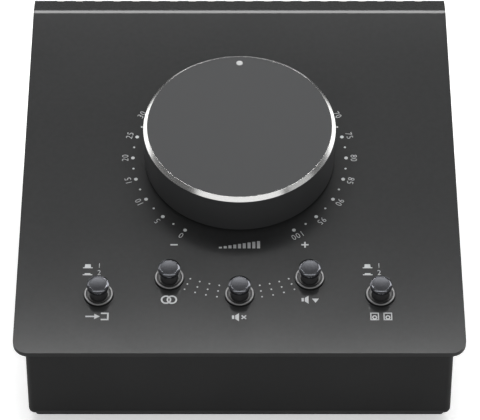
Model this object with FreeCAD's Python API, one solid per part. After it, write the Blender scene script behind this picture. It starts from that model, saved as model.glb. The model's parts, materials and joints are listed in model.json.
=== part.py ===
"""A desk-top monitor controller: a folded steel case with a sloping panel, a large volume knob,
five push buttons and eight jack sockets. Millimetres.

The row frame has +Z up, +X to the right and the front at -Y, with its origin under the middle of the
object, on the surface that it stands on. Pieces on the sloping panel are drawn in the panel's own
frame: X to the right, Y up the slope and Z out of the panel, from the dial's centre on its surface.
"""
import FreeCAD, Part
import math
import os

V = FreeCAD.Vector
ACROSS = V(1, 0, 0)
BACK = V(0, 1, 0)
UP = V(0, 0, 1)

# Cover
cover_width = 116.0
cover_sheet = 1.5
cover_corner = 4.0
panel_slope = 13.5              # degrees
dial_to_front = 65.0            # down the slope from the dial's centre
dial_to_bend = 54.1             # up the slope from the dial's centre
panel_bend = 6.5                # outer radius of the bend behind the panel
strip_length = 7.3              # the narrow strip between the two bends
strip_drop = 4.0                # degrees
apron_bend = 2.0
vent_count = 20
vent_width = 2.1
vent_height = 8.6
vent_margin = 7.27              # from the cover's side to the middle of the first slot
vent_land = 1.0                 # between the slots and the rear panel's top

# Case
case_sheet = 1.2
case_edge = 1.6                 # outer radius of the case's folded edges
case_flange = 10.0
front_overhang = 3.0            # how far the cover stands out over the front wall
side_overhang = 3.0             # and over each side wall
apron_gap = 2.6                 # between the upper sockets' nuts and the foot of the apron
rear_sheet = 1.5
rear_overlap = 3.0              # how far the rear panel reaches up behind the apron
tongue_gap = 0.3                # between the rear panel's tongue and the case's side flanges
base_sheet = 1.2
foot_height = 2.0
foot_radius = 6.0
foot_side_inset = 11.0          # from the case's side to the foot's centre
foot_end_inset = 14.0

# Cover brackets
bracket_sheet = 1.5
bracket_reach = 7.0
bracket_drop = 11.5
bracket_front_inset = 20.0      # along the slope from the cover's front edge
bracket_rear_inset = 19.4       # along the slope from the rear bend
bracket_screw_inset = 10.0      # from each end of the bracket

# Screws
screw_radius = 1.5
screw_clearance = 0.1
head_radius = 2.8
head_height = 1.4
recess_width = 0.8
recess_length = 3.2
recess_depth = 0.8
side_screw_length = 5.0
base_screw_length = 4.0
rear_screw_length = 6.0
board_screw_length = 6.0
base_screw_inset = 6.5          # from the case's outside
rear_screw_inset = 7.0          # from the rear panel's upper and lower edges

# Knob
knob_radius = 25.6
knob_top = 13.5                 # above the panel
knob_gap = 1.0                  # between the skirt and the panel
knob_chamfer = 1.0
knob_rim = 0.4                  # straight part below the chamfer
knob_skirt_step = 0.1
knob_wall = 2.0
knob_top_wall = 3.0
hub_radius = 7.5
hub_gap = 0.4                   # between the hub and the bushing's end
pointer_radius = 0.9
pointer_inset = 2.3             # from the edge of the flat top
pointer_depth = 0.6
set_screw_tail = 0.5            # how far the set screw's end lies inside the hub's surface
set_screw_gap = 0.02
hex_key = 1.5
hex_depth = 2.0

# Potentiometer
spindle_radius = 3.0
spindle_clearance = 0.05
spindle_flat = 1.5              # from the axis
spindle_top_gap = 0.5           # from the spindle's end to the underside of the knob's top
spindle_float = 0.1             # between the spindle's shoulder and the case's floor
pivot_radius = 1.5
pivot_depth = 0.6
pot_side = 17.0
pot_height = 9.0
pot_wall = 1.1
pot_floor = 1.0
pot_plate = 1.5
bushing_radius = 3.5
bushing_spare = 1.1             # thread past the nut
pot_nut_key = 10.0
pot_nut_height = 2.0
pot_washer_radius = 6.0
pot_washer_height = 0.5
track_height = 0.8
track_gap = 0.8                 # between a track's bore and the spindle
wiper_side_gap = 0.8            # between a wiper's disc and the case's wall
wiper_height = 1.0
wiper_drop = 1.4                # from a track to its wiper's disc
wiper_gap = 0.3                 # between a track and a wiper's fingers
finger_length = 1.2
finger_width = 0.8

# Buttons
outer_button_side = 21.5        # from the cover's side to the outer button's axis
outer_button_inset = 18.6       # along the slope from the cover's front edge
inner_button_step = 5.4         # how far the two inner buttons stand up the slope from the outer ones
button_travel = 2.4
cap_gap = 0.05                  # between a pressed cap and its bezel's height
cap_top_radius = 2.4
cap_radius = 2.9
cap_chamfer = 0.6
cap_edge = 0.3
cap_under = 0.7
stem_radius = 2.2
stem_clearance = 0.08
shoulder_gap = 0.3              # between a pressed stem's shoulder and the switch
spigot_radius = 1.4
spigot_height = 1.0
pin_radius = 1.8
pin_flange_radius = 2.7
pin_flange = 1.0
bezel_radius = 3.95
bezel_top_radius = 3.75
bezel_height = 0.75
lip_radius = 3.2                # inside of the bright lip
groove_depth = 0.6
collar_radius = 2.75
collar_drop = 0.4
bezel_tube_radius = 3.3
bezel_tube_gap = 1.0            # between a bezel's tube and the switch
push_clearance = 0.05
switch_side = 8.5
switch_height = 7.5
switch_top = 1.2
switch_floor = 1.0
switch_bore = 3.0
spring_wire = 0.2               # radius
spring_radius = 2.1
spring_turns = 3.5
spring_spans = 4                # lengths that each turn is swept in

# Boards
board_sheet = 1.6
board_side_gap = 0.6            # between the boards' sides and the cover brackets
board_front_inset = 11.0        # along the slope from the cover's front edge
spacer_key = 5.0
spacer_bore_depth = 7.0
spacer_side_inset = 3.0
spacer_front_inset = 18.0       # from the board's front edge
spacer_rear_inset = 6.0
header_width = 24.0
header_inset = 7.0              # from the board's rear edge
header_height = 6.0
header_depth = 5.0
ribbon_width = 20.0
ribbon_sheet = 0.9
ribbon_bend = 2.4
ribbon_turn = 2.4               # from the jack board's header to the corner that the ribbon turns
ribbon_in_header = 2.0
jack_header_height = 10.5       # above the underside of the case shell
jack_board_margin = 0.5         # past the sockets' bodies

# Jack sockets
jack_columns = 4
jack_rows = ("lower", "upper")
jack_row_height = 11.8          # above the underside of the case shell
jack_row_gap = 1.0
jack_side_gap = 1.0             # between the outer sockets and the case's flanges
jack_side = 16.0
jack_bore = 3.25
jack_bore_length = 31.0
jack_end_wall = 1.0
jack_thread = 5.5
jack_thread_length = 3.5        # outside the rear panel
jack_nut_key = 14.0
jack_nut_height = 2.4
jack_pin_radius = 0.45
jack_pin_gap = 0.1
jack_pin_in_body = 2.0
jack_pin_tail = 1.6
jack_pin_offset = 5.2

# Places worked out from the sizes above
slope = math.radians(panel_slope)
drop = math.radians(strip_drop)
case_floor = foot_height + base_sheet
lower_jack_z = case_floor + jack_row_height
jack_row_pitch = jack_side + jack_row_gap
upper_jack_z = lower_jack_z + jack_row_pitch * (len(jack_rows) - 1)
apron_foot = upper_jack_z + jack_nut_key / 2 + apron_gap
rear_top = apron_foot + rear_overlap
apron_z = rear_top + vent_land + vent_height
bend_z = apron_z + strip_length * math.sin(drop)
dial_z = bend_z - dial_to_bend * math.sin(slope)
front_reach = dial_to_front * math.cos(slope)
bend_reach = dial_to_bend * math.cos(slope)
apron_reach = bend_reach + strip_length * math.cos(drop)
rear_reach = apron_reach - cover_sheet + jack_thread_length
dial_y = (front_reach - rear_reach) / 2
front_edge = dial_y - front_reach
case_front = front_edge + front_overhang
bend_y = dial_y + bend_reach
apron_y = dial_y + apron_reach
vent_pitch = (cover_width - 2 * vent_margin) / (vent_count - 1)
rear_face = apron_y - cover_sheet
case_rear = rear_face - rear_sheet
case_half = cover_width / 2 - side_overhang
wall_inside = case_half - case_sheet
on_slope = FreeCAD.Placement(V(0, dial_y, dial_z), FreeCAD.Rotation(ACROSS, panel_slope))

flange_inside = case_half - case_flange
jack_pitch = 2 * (flange_inside - jack_side_gap - jack_side / 2) / (jack_columns - 1)
jack_mouth = rear_face + jack_thread_length
jack_back = jack_mouth - jack_bore_length - jack_end_wall
jack_board_front = jack_back - board_sheet
jack_header_z = case_floor + jack_header_height
ribbon_corner = V(0, jack_board_front - header_height - ribbon_turn, jack_header_z - ribbon_sheet / 2)
header_place = on_slope.inverse().multVec(ribbon_corner).y + ribbon_sheet / 2

pot_top = -cover_sheet - pot_plate
board_top = pot_top - pot_height
board_under = board_top - board_sheet
board_half = wall_inside - bracket_reach - board_side_gap
board_front = board_front_inset - dial_to_front
board_rear = header_place + header_inset
bushing_height = pot_washer_height + pot_nut_height + bushing_spare
hub_low = bushing_height + hub_gap
knob_under = knob_top - knob_top_wall
spindle_tip = knob_under - spindle_top_gap
set_screw_height = (hub_low + spindle_tip) / 2
pointer_place = knob_radius - knob_chamfer - pointer_inset

switch_face = board_top + switch_height
switch_ceiling = switch_face - switch_top
stem_shoulder = switch_face + button_travel + shoulder_gap
cap_foot = bezel_height + cap_gap + button_travel
bracket_front = bracket_front_inset - dial_to_front
bracket_rear = dial_to_bend - bracket_rear_inset

outer_button_x = cover_width / 2 - outer_button_side
outer_button_y = outer_button_inset - dial_to_front
inner_button_y = outer_button_y + inner_button_step
BUTTONS = {
    "source": (-outer_button_x, outer_button_y),
    "mono": (-outer_button_x / 2, inner_button_y),
    "mute": (0.0, outer_button_y),
    "dim": (outer_button_x / 2, inner_button_y),
    "monitor": (outer_button_x, outer_button_y),
}


# Drawing helpers
def save(name, shape):
    """Write one piece, or one group of identical pieces, to its STEP file."""
    shape.exportStep("parts/" + name + ".step")


def on_panel(shape):
    """Carry a shape drawn in the panel's frame into the row frame."""
    carried = shape.copy()
    carried.Placement = on_slope.multiply(carried.Placement)
    return carried


def block(low, high):
    size = V(*high) - V(*low)
    return Part.makeBox(size.x, size.y, size.z, V(*low))


def rod(radius, start, end):
    span = V(*end) - V(*start)
    return Part.makeCylinder(radius, span.Length, V(*start), span)


def hexagon(key, height, base=0.0):
    """A hexagonal prism about Z, with flats that face +Y and -Y."""
    corner = key / 2 / math.cos(math.radians(30))
    points = [V(corner * math.cos(math.radians(60 * i)), corner * math.sin(math.radians(60 * i)), base)
              for i in range(7)]
    return Part.Face(Part.makePolygon(points)).extrude(V(0, 0, height))


def turned(profile):
    """Turn a closed outline of (radius, height) points about Z."""
    points = [V(r, 0, h) for r, h in profile]
    return Part.Face(Part.makePolygon(points + points[:1])).revolve(V(0, 0, 0), UP, 360)


def ring(inner, outer, low, high):
    return rod(outer, (0, 0, low), (0, 0, high)).cut(rod(inner, (0, 0, low), (0, 0, high)))


def group(shapes):
    return Part.makeCompound(list(shapes))


def moved(shape, x, y, z=0.0):
    copy = shape.copy()
    copy.translate(V(x, y, z))
    return copy


def rounded_path(points, radii):
    """Straight edges through the points, with a tangent arc of the given radius at each inner one, or
    a sharp corner where the radius is 0."""
    edges = []
    start = points[0]
    for before, corner, after, radius in zip(points, points[1:], points[2:], radii):
        arriving = (corner - before).normalize()
        leaving = (after - corner).normalize()
        half_turn = arriving.getAngle(leaving) / 2
        if radius == 0:
            edges.append(Part.LineSegment(start, corner).toShape())
            start = corner
            continue
        inward = (leaving - arriving).normalize()
        trim = radius * math.tan(half_turn)
        centre = corner + inward * (radius / math.cos(half_turn))
        arc_start = corner - arriving * trim
        arc_end = corner + leaving * trim
        edges.append(Part.LineSegment(start, arc_start).toShape())
        edges.append(Part.Arc(arc_start, centre - inward * radius, arc_end).toShape())
        start = arc_end
    edges.append(Part.LineSegment(start, points[-1]).toShape())
    return edges


def folded_sheet(outline, radii, thickness, width):
    """A sheet folded along X. The outline's (y, z) points run along its outer face, which every bend
    leaves on the outside, and the thickness lies to the right of the way that they run."""
    outer = [V(0, y, z) for y, z in outline]
    ways = [(b - a).normalize() for a, b in zip(outer, outer[1:])]
    normals = [V(0, way.z, -way.y) for way in ways]
    inner = [outer[0] + normals[0] * thickness]
    for corner, one, two in zip(outer[1:], normals, normals[1:]):
        inner.append(corner + (one + two) * (thickness / (1 + one.dot(two))))
    inner.append(outer[-1] + normals[-1] * thickness)
    edges = rounded_path(outer, radii)
    edges.append(Part.LineSegment(outer[-1], inner[-1]).toShape())
    edges += rounded_path(inner[::-1], [radius - thickness for radius in radii[::-1]])
    edges.append(Part.LineSegment(inner[0], outer[0]).toShape())
    face = Part.Face(Part.Wire(Part.__sortEdges__(edges)))
    face.translate(V(-width / 2, 0, 0))
    return face.extrude(V(width, 0, 0))


def pan_screw(length):
    """A cross-recess pan head screw along +Z, with the seat of its head at the origin."""
    head = Part.makeCylinder(head_radius, head_height, V(0, 0, -head_height))
    crown = [edge for edge in head.Edges if edge.BoundBox.ZMax < -head_height / 2]
    head = head.makeFillet(head_height / 2, crown)
    half, bottom = recess_length / 2, -head_height
    for long_x, long_y in ((half, recess_width / 2), (recess_width / 2, half)):
        head = head.cut(block((-long_x, -long_y, bottom), (long_x, long_y, bottom + recess_depth)))
    return head.fuse(Part.makeCylinder(screw_radius, length)).removeSplitter()


def placed_screw(length, seat, way):
    screw = pan_screw(length)
    screw.Placement = FreeCAD.Placement(V(*seat), FreeCAD.Rotation(UP, V(*way)))
    return screw


def screw_hole(place, way, reach=4.0):
    """A hole on a screw's axis that runs the given reach to both sides of its place."""
    middle, step = V(*place), V(*way) * reach
    return rod(screw_radius + screw_clearance, tuple(middle - step), tuple(middle + step))


# Places of repeated pieces
SIDES = (-1, 1)
bracket_screw_height = -(cover_sheet + bracket_drop) / 2
BRACKET_SCREWS = [(side * case_half, along, bracket_screw_height)
                  for side in SIDES
                  for along in (bracket_front + bracket_screw_inset, bracket_rear - bracket_screw_inset)]
CASE_BASE_SCREWS = [(side * jack_pitch, case_front + base_screw_inset) for side in SIDES]
CASE_BASE_SCREWS += [(side * (case_half - base_screw_inset), 0.0) for side in SIDES]
REAR_BASE_SCREWS = [(side * jack_pitch, case_rear - case_flange / 2) for side in SIDES]
REAR_SCREWS = [(side * (case_half - case_flange / 2), z)
               for side in SIDES for z in (case_floor + rear_screw_inset, rear_top - rear_screw_inset)]
SPACERS = [(side * (board_half - spacer_side_inset), along)
           for side in SIDES for along in (board_front + spacer_front_inset, board_rear - spacer_rear_inset)]
FEET = [(side * (case_half - foot_side_inset), y)
        for side in SIDES for y in (case_front + foot_end_inset, rear_face - foot_end_inset)]
JACKS = {}
for row, row_name in enumerate(jack_rows):
    for column in range(jack_columns):
        jack_x = (column - (jack_columns - 1) / 2) * jack_pitch
        jack_z = lower_jack_z + row * jack_row_pitch
        JACKS["jack_%s_%d" % (row_name, column + 1)] = (jack_x, jack_z)


# Case and cover
def top_cover():
    outline = [(front_edge, dial_z - dial_to_front * math.sin(slope)), (bend_y, bend_z),
               (apron_y, apron_z), (apron_y, apron_foot)]
    cover = folded_sheet(outline, [panel_bend, apron_bend], cover_sheet, cover_width)
    corners = [edge for edge in cover.Edges
               if abs(edge.Length - cover_sheet) < 0.01 and edge.BoundBox.YMax < front_edge + 1]
    cover = cover.makeFillet(cover_corner, corners)
    slot_front = apron_y - cover_sheet - 0.1
    slot_foot = apron_z - vent_height + vent_width / 2
    for i in range(vent_count):
        x = (i - (vent_count - 1) / 2) * vent_pitch
        half = vent_width / 2
        slot = block((x - half, slot_front, slot_foot), (x + half, apron_y + 1, apron_z + 1))
        cover = cover.cut(slot).cut(rod(half, (x, slot_front, slot_foot), (x, apron_y + 1, slot_foot)))
    holes = [rod(bushing_radius + screw_clearance, (0, 0, -cover_sheet - 1), (0, 0, 1))]
    for x, y in BUTTONS.values():
        holes.append(rod(bezel_tube_radius + push_clearance, (x, y, -cover_sheet - 1), (x, y, 1)))
    return cover.cut(on_panel(group(holes)))


def under_cover():
    """Everything below the cover's inner face, as one prism wider than the case."""
    panel_inside = V(0, bend_y + cover_sheet * math.sin(slope), bend_z - cover_sheet * math.cos(slope))
    down_slope = V(0, -math.cos(slope), -math.sin(slope))
    inner_bend = panel_inside + down_slope * (cover_sheet * math.tan((slope + drop) / 2))
    front = V(0, front_edge, inner_bend.z - (inner_bend.y - front_edge) * math.tan(slope))
    rear = V(0, rear_face, inner_bend.z - (rear_face - inner_bend.y) * math.tan(drop))
    edges = rounded_path([V(0, front_edge, 0), front, inner_bend, rear, V(0, rear_face, 0)],
                         [0, panel_bend - cover_sheet, 0])
    edges.append(Part.LineSegment(V(0, rear_face, 0), V(0, front_edge, 0)).toShape())
    face = Part.Face(Part.Wire(edges))
    face.translate(V(-cover_width / 2, 0, 0))
    return face.extrude(V(cover_width, 0, 0))


def case_shell():
    top = dial_z + dial_to_bend
    outside = block((-case_half, case_front, case_floor), (case_half, case_rear, top))
    folds = [edge for edge in outside.Edges
             if edge.BoundBox.YMax < case_front + 0.01 and edge.BoundBox.ZMin < top - 0.01
             or edge.BoundBox.ZMax < case_floor + 0.01 and abs(edge.CenterOfMass.y - case_rear) > 0.01]
    outside = outside.makeFillet(case_edge, folds)
    inside = block((-wall_inside, case_front + case_sheet, case_floor + case_sheet),
                   (wall_inside, case_rear - case_sheet, top + 1))
    below = block((-flange_inside, case_front + case_flange, case_floor - 1),
                  (flange_inside, case_rear + 1, case_floor + case_sheet + 1))
    behind = block((-flange_inside, case_rear - case_sheet - 1, case_floor - 1),
                   (flange_inside, case_rear + 1, top + 1))
    shell = outside.cut(inside).cut(below).cut(behind).common(under_cover())
    for place in BRACKET_SCREWS:
        shell = shell.cut(on_panel(screw_hole(place, ACROSS)))
    for x, y in CASE_BASE_SCREWS:
        shell = shell.cut(screw_hole((x, y, case_floor), UP))
    for x, z in REAR_SCREWS:
        shell = shell.cut(screw_hole((x, case_rear, z), BACK))
    return shell


def base_plate():
    half = case_half - case_edge
    plate = block((-half, case_front + case_edge, foot_height),
                  (half, rear_face - case_edge, case_floor))
    for x, y in CASE_BASE_SCREWS + REAR_BASE_SCREWS:
        plate = plate.cut(screw_hole((x, y, foot_height), UP))
    return plate


def rear_panel():
    upright = block((-case_half, case_rear, case_floor), (case_half, rear_face, rear_top))
    tongue_half = flange_inside - tongue_gap
    tongue = block((-tongue_half, case_rear - case_flange, case_floor),
                   (tongue_half, case_rear, case_floor + rear_sheet))
    panel = upright.fuse(tongue).removeSplitter()
    for x, z in JACKS.values():
        panel = panel.cut(rod(jack_thread + screw_clearance, (x, case_rear - 1, z), (x, rear_face + 1, z)))
    for x, z in REAR_SCREWS:
        panel = panel.cut(screw_hole((x, rear_face, z), BACK))
    for x, y in REAR_BASE_SCREWS:
        panel = panel.cut(screw_hole((x, y, case_floor), UP))
    return panel


def cover_bracket(side):
    """An angle spot-welded under the cover; its upright leg lies against the case's side wall."""
    under = -cover_sheet
    leaf = block((wall_inside - bracket_reach, bracket_front, under - bracket_sheet),
                 (wall_inside, bracket_rear, under))
    leg = block((wall_inside - bracket_sheet, bracket_front, under - bracket_drop),
                (wall_inside, bracket_rear, under))
    angle = leaf.fuse(leg).removeSplitter()
    if side < 0:
        angle = angle.mirror(V(0, 0, 0), ACROSS)
    for x, y, z in BRACKET_SCREWS:
        angle = angle.cut(screw_hole((x, y, z), ACROSS))
    return on_panel(angle)


def rubber_foot(x, y):
    foot = Part.makeCylinder(foot_radius, foot_height, V(x, y, 0))
    lower = [edge for edge in foot.Edges if edge.BoundBox.ZMax < 0.01]
    return foot.makeChamfer(foot_height / 4, lower)


# Knob and potentiometer
def volume_knob():
    rim_low = knob_top - knob_chamfer - knob_rim
    skirt = knob_radius - knob_skirt_step
    bore = spindle_radius + spindle_clearance
    bore_top = (spindle_tip + knob_under) / 2
    knob = turned([(skirt, knob_gap), (skirt, rim_low - knob_skirt_step), (knob_radius, rim_low),
                   (knob_radius, knob_top - knob_chamfer), (knob_radius - knob_chamfer, knob_top),
                   (0, knob_top), (0, bore_top), (bore, bore_top), (bore, hub_low),
                   (hub_radius, hub_low), (hub_radius, knob_under), (skirt - knob_wall, knob_under),
                   (skirt - knob_wall, knob_gap)])
    dimple = rod(pointer_radius, (0, pointer_place, knob_top - pointer_depth),
                 (0, pointer_place, knob_top + 1))
    tapped = rod(screw_radius, (0, 0, set_screw_height), (0, hub_radius + 1, set_screw_height))
    access = rod(screw_radius + screw_clearance, (0, skirt - knob_wall - 1, set_screw_height),
                 (0, knob_radius + 1, set_screw_height))
    return knob.cut(dimple).cut(tapped).cut(access)


def pointer_dot():
    return rod(pointer_radius, (0, pointer_place, knob_top - pointer_depth),
               (0, pointer_place, knob_top))


def set_screw():
    tail = hub_radius - set_screw_tail
    body = rod(screw_radius - set_screw_gap, (0, spindle_flat, set_screw_height), (0, tail, set_screw_height))
    key = hexagon(hex_key, hex_depth)
    key.Placement = FreeCAD.Placement(V(0, tail - hex_depth, set_screw_height),
                                      FreeCAD.Rotation(UP, BACK))
    return body.cut(key)


def pot_spindle():
    foot = board_top + pot_floor + spindle_float
    shaft = rod(spindle_radius, (0, 0, foot), (0, 0, spindle_tip))
    pivot = rod(pivot_radius, (0, 0, foot - pivot_depth), (0, 0, foot))
    waste = block((-spindle_radius, spindle_flat, hub_low),
                  (spindle_radius, spindle_radius + 1, spindle_tip + 1))
    return shaft.fuse(pivot).cut(waste)


def track_faces():
    """Heights of the two resistive tracks' lower faces, front gang first."""
    first = pot_top - track_height
    return [first, first - (pot_height - pot_floor) / 2]


def pot_tracks():
    inner = spindle_radius + track_gap
    outer = pot_side / 2 - pot_wall - push_clearance
    return group(ring(inner, outer, low, low + track_height) for low in track_faces())


def pot_wipers():
    """One insulated disc per gang, with two sprung fingers that reach up to its track."""
    outer = pot_side / 2 - pot_wall - wiper_side_gap
    middle = (spindle_radius + track_gap + outer) / 2
    half_length, half_width = finger_length / 2, finger_width / 2
    discs = []
    for low in track_faces():
        top = low - wiper_drop
        disc = ring(spindle_radius, outer, top - wiper_height, top)
        for side in SIDES:
            finger = block((side * middle - half_length, -half_width, top),
                           (side * middle + half_length, half_width, low - wiper_gap))
            disc = disc.fuse(finger)
        discs.append(disc)
    return group(discs)


def pot_case():
    half = pot_side / 2
    floor = board_top + pot_floor
    cup = block((-half, -half, board_top), (half, half, pot_top))
    cup = cup.cut(rod(half - pot_wall, (0, 0, floor), (0, 0, pot_top + 1)))
    return cup.cut(rod(pivot_radius + spindle_clearance, (0, 0, floor - pivot_depth), (0, 0, floor + 1)))


def pot_front():
    half = pot_side / 2
    plate = block((-half, -half, pot_top), (half, half, -cover_sheet))
    bushing = rod(bushing_radius, (0, 0, -cover_sheet), (0, 0, bushing_height))
    bore = rod(spindle_radius + spindle_clearance, (0, 0, pot_top - 1), (0, 0, bushing_height + 1))
    return plate.fuse(bushing).cut(bore)


def pot_washer():
    return ring(bushing_radius + screw_clearance, pot_washer_radius, 0, pot_washer_height)


def pot_nut():
    nut = hexagon(pot_nut_key, pot_nut_height, pot_washer_height)
    return nut.cut(rod(bushing_radius + push_clearance, (0, 0, 0), (0, 0, bushing_height)))


# Buttons, each drawn about its own axis
def button_cap():
    edge_low = cap_foot + cap_under
    edge_top = edge_low + cap_edge
    socket = spigot_radius + push_clearance
    return turned([(0, edge_top + cap_chamfer), (cap_top_radius, edge_top + cap_chamfer),
                   (cap_radius, edge_top), (cap_radius, edge_low), (stem_radius, cap_foot),
                   (socket, cap_foot), (socket, cap_foot + spigot_height), (0, cap_foot + spigot_height)])


def button_plunger():
    spigot_top = cap_foot + spigot_height
    flange_low = switch_ceiling - pin_flange
    return turned([(0, spigot_top), (spigot_radius, spigot_top), (spigot_radius, cap_foot),
                   (stem_radius, cap_foot), (stem_radius, stem_shoulder), (pin_radius, stem_shoulder),
                   (pin_radius, switch_ceiling), (pin_flange_radius, switch_ceiling),
                   (pin_flange_radius, flange_low), (0, flange_low)])


def button_bezel():
    bore = stem_radius + stem_clearance
    groove = bezel_height - groove_depth
    collar = bezel_height - collar_drop
    tube_end = switch_face + bezel_tube_gap
    return turned([(bore, collar), (collar_radius, collar), (collar_radius, groove), (lip_radius, groove),
                   (lip_radius, bezel_height), (bezel_top_radius, bezel_height), (bezel_radius, 0),
                   (bezel_tube_radius, 0), (bezel_tube_radius, tube_end), (bore, tube_end)])


def switch_case():
    half = switch_side / 2
    floor = board_top + switch_floor
    case = block((-half, -half, board_top), (half, half, switch_face))
    chamber = rod(switch_bore, (0, 0, floor), (0, 0, switch_ceiling))
    return case.cut(chamber).cut(rod(pin_radius + stem_clearance, (0, 0, floor), (0, 0, switch_face + 1)))


def return_spring():
    low = board_top + switch_floor + spring_wire
    high = switch_ceiling - pin_flange - spring_wire
    pitch = (high - low) / spring_turns
    spans = math.ceil(spring_spans * spring_turns)
    rise = (high - low) / spans
    edges = []
    for i in range(spans):
        span = Part.makeHelix(pitch, rise, spring_radius)
        span.rotate(V(0, 0, 0), UP, 360 * rise * i / pitch)
        edges += moved(span, 0, 0, rise * i).Edges
    wire = Part.Wire(Part.makeCircle(spring_wire, V(spring_radius, 0, 0), BACK))
    coil = Part.Wire(edges).makePipeShell([wire], True, True)
    return moved(coil, 0, 0, low)


# Boards and the cable between them
def control_board():
    board = block((-board_half, board_front, board_under), (board_half, board_rear, board_top))
    for x, y in SPACERS:
        board = board.cut(screw_hole((x, y, board_under), UP))
    return on_panel(board)


def board_spacers():
    spacer = hexagon(spacer_key, -cover_sheet - board_top, board_top)
    spacer = spacer.cut(rod(screw_radius + screw_clearance, (0, 0, board_top - 1),
                            (0, 0, board_top + spacer_bore_depth)))
    return on_panel(group(moved(spacer, x, y) for x, y in SPACERS))


def jack_board():
    beyond = jack_side / 2 + jack_board_margin
    heights = [z for x, z in JACKS.values()]
    board = block((-board_half, jack_board_front, min(heights) - beyond),
                  (board_half, jack_back, max(heights) + beyond))
    return board.cut(group(rod(jack_pin_radius + jack_pin_gap, start, end) for start, end in pin_places()))


def cable_headers():
    """The two sockets that the ribbon's ends are held in, each with a slot for the ribbon."""
    half, depth = header_width / 2, header_depth / 2
    sloping = block((-half, header_place - depth, board_under - header_height),
                    (half, header_place + depth, board_under))
    upright = block((-half, jack_board_front - header_height, jack_header_z - depth),
                    (half, jack_board_front, jack_header_z + depth))
    ribbon = ribbon_cable()
    return group([on_panel(sloping).cut(ribbon), upright.cut(ribbon)])


def ribbon_cable():
    """A flat cable that drops from the control board's header and turns back to the jack board's."""
    start = on_slope.multVec(V(0, header_place - ribbon_sheet / 2, board_under - header_height
                               + ribbon_in_header))
    end_y = jack_board_front - header_height + ribbon_in_header
    outline = [(end_y, ribbon_corner.z), (ribbon_corner.y, ribbon_corner.z), (start.y, start.z)]
    return folded_sheet(outline, [ribbon_bend], ribbon_sheet, ribbon_width)


# Jack sockets
def pin_places():
    """Start and end of each solder pin: three to a socket, from inside its body through the board."""
    places = []
    for x, z in JACKS.values():
        for across, up in ((-jack_pin_offset, -jack_pin_offset), (jack_pin_offset, -jack_pin_offset),
                           (0.0, jack_pin_offset)):
            places.append(((x + across, jack_back + jack_pin_in_body, z + up),
                           (x + across, jack_board_front - jack_pin_tail, z + up)))
    return places


def jack_socket(x, z):
    half = jack_side / 2
    body = block((x - half, jack_back, z - half), (x + half, case_rear, z + half))
    thread = rod(jack_thread, (x, case_rear, z), (x, jack_mouth, z))
    bore = rod(jack_bore, (x, jack_mouth - jack_bore_length, z), (x, jack_mouth + 1, z))
    sockets = [rod(jack_pin_radius, start, end) for start, end in pin_places() if abs(start[0] - x) < half]
    return body.fuse(thread).cut(bore).cut(group(sockets))


def jack_nut(x, z):
    nut = hexagon(jack_nut_key, jack_nut_height)
    nut = nut.cut(rod(jack_thread + push_clearance, (0, 0, -1), (0, 0, jack_nut_height + 1)))
    nut.Placement = FreeCAD.Placement(V(x, rear_face, z), FreeCAD.Rotation(UP, BACK))
    return nut


os.makedirs("parts", exist_ok=True)

save("top_cover", top_cover())
save("case_shell", case_shell())
save("base_plate", base_plate())
save("rear_panel", rear_panel())
save("cover_brackets", group(cover_bracket(side) for side in SIDES))
save("rubber_feet", group(rubber_foot(x, y) for x, y in FEET))

save("side_screws", on_panel(group(
    placed_screw(side_screw_length, place, (-math.copysign(1, place[0]), 0, 0)) for place in BRACKET_SCREWS)))
save("base_screws", group(
    placed_screw(base_screw_length, (x, y, foot_height), UP) for x, y in CASE_BASE_SCREWS + REAR_BASE_SCREWS))
save("rear_screws", group(
    placed_screw(rear_screw_length, (x, rear_face, z), -BACK) for x, z in REAR_SCREWS))
save("board_screws", on_panel(group(
    placed_screw(board_screw_length, (x, y, board_under), UP) for x, y in SPACERS)))

for name, piece in {"volume_knob": volume_knob, "pointer_dot": pointer_dot, "knob_set_screw": set_screw,
                    "pot_spindle": pot_spindle, "pot_wipers": pot_wipers, "pot_tracks": pot_tracks,
                    "pot_case": pot_case, "pot_front": pot_front, "pot_washer": pot_washer,
                    "pot_nut": pot_nut}.items():
    save(name, on_panel(piece()))

for button, (x, y) in BUTTONS.items():
    for name, piece in {"cap": button_cap, "plunger": button_plunger, "bezel": button_bezel,
                        "switch": switch_case, "spring": return_spring}.items():
        save(button + "_" + name, on_panel(moved(piece(), x, y)))

save("control_board", control_board())
save("board_spacers", board_spacers())
save("jack_board", jack_board())
save("ribbon_cable", ribbon_cable())
save("cable_headers", cable_headers())
for name, (x, z) in JACKS.items():
    save(name, jack_socket(x, z))
save("jack_nuts", group(jack_nut(x, z) for x, z in JACKS.values()))
save("jack_pins", group(rod(jack_pin_radius, start, end) for start, end in pin_places()))
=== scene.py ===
"""A dressed model of a desk-top monitor controller, laid out as a Blender add-on.

Sizes are in metres, in the solid model's frame: +Z up, +X to the right and the front at -Y. Pieces on
the sloping panel are shaped about Z at the origin and then carried into the panel's own frame, whose
origin is the dial's centre on the panel: X to the right, Y up the slope and Z out of the panel.
"""
import contextlib
import functools
import itertools
import json
import math

import bmesh
import bpy
from mathutils import Euler, Matrix, Vector


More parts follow.
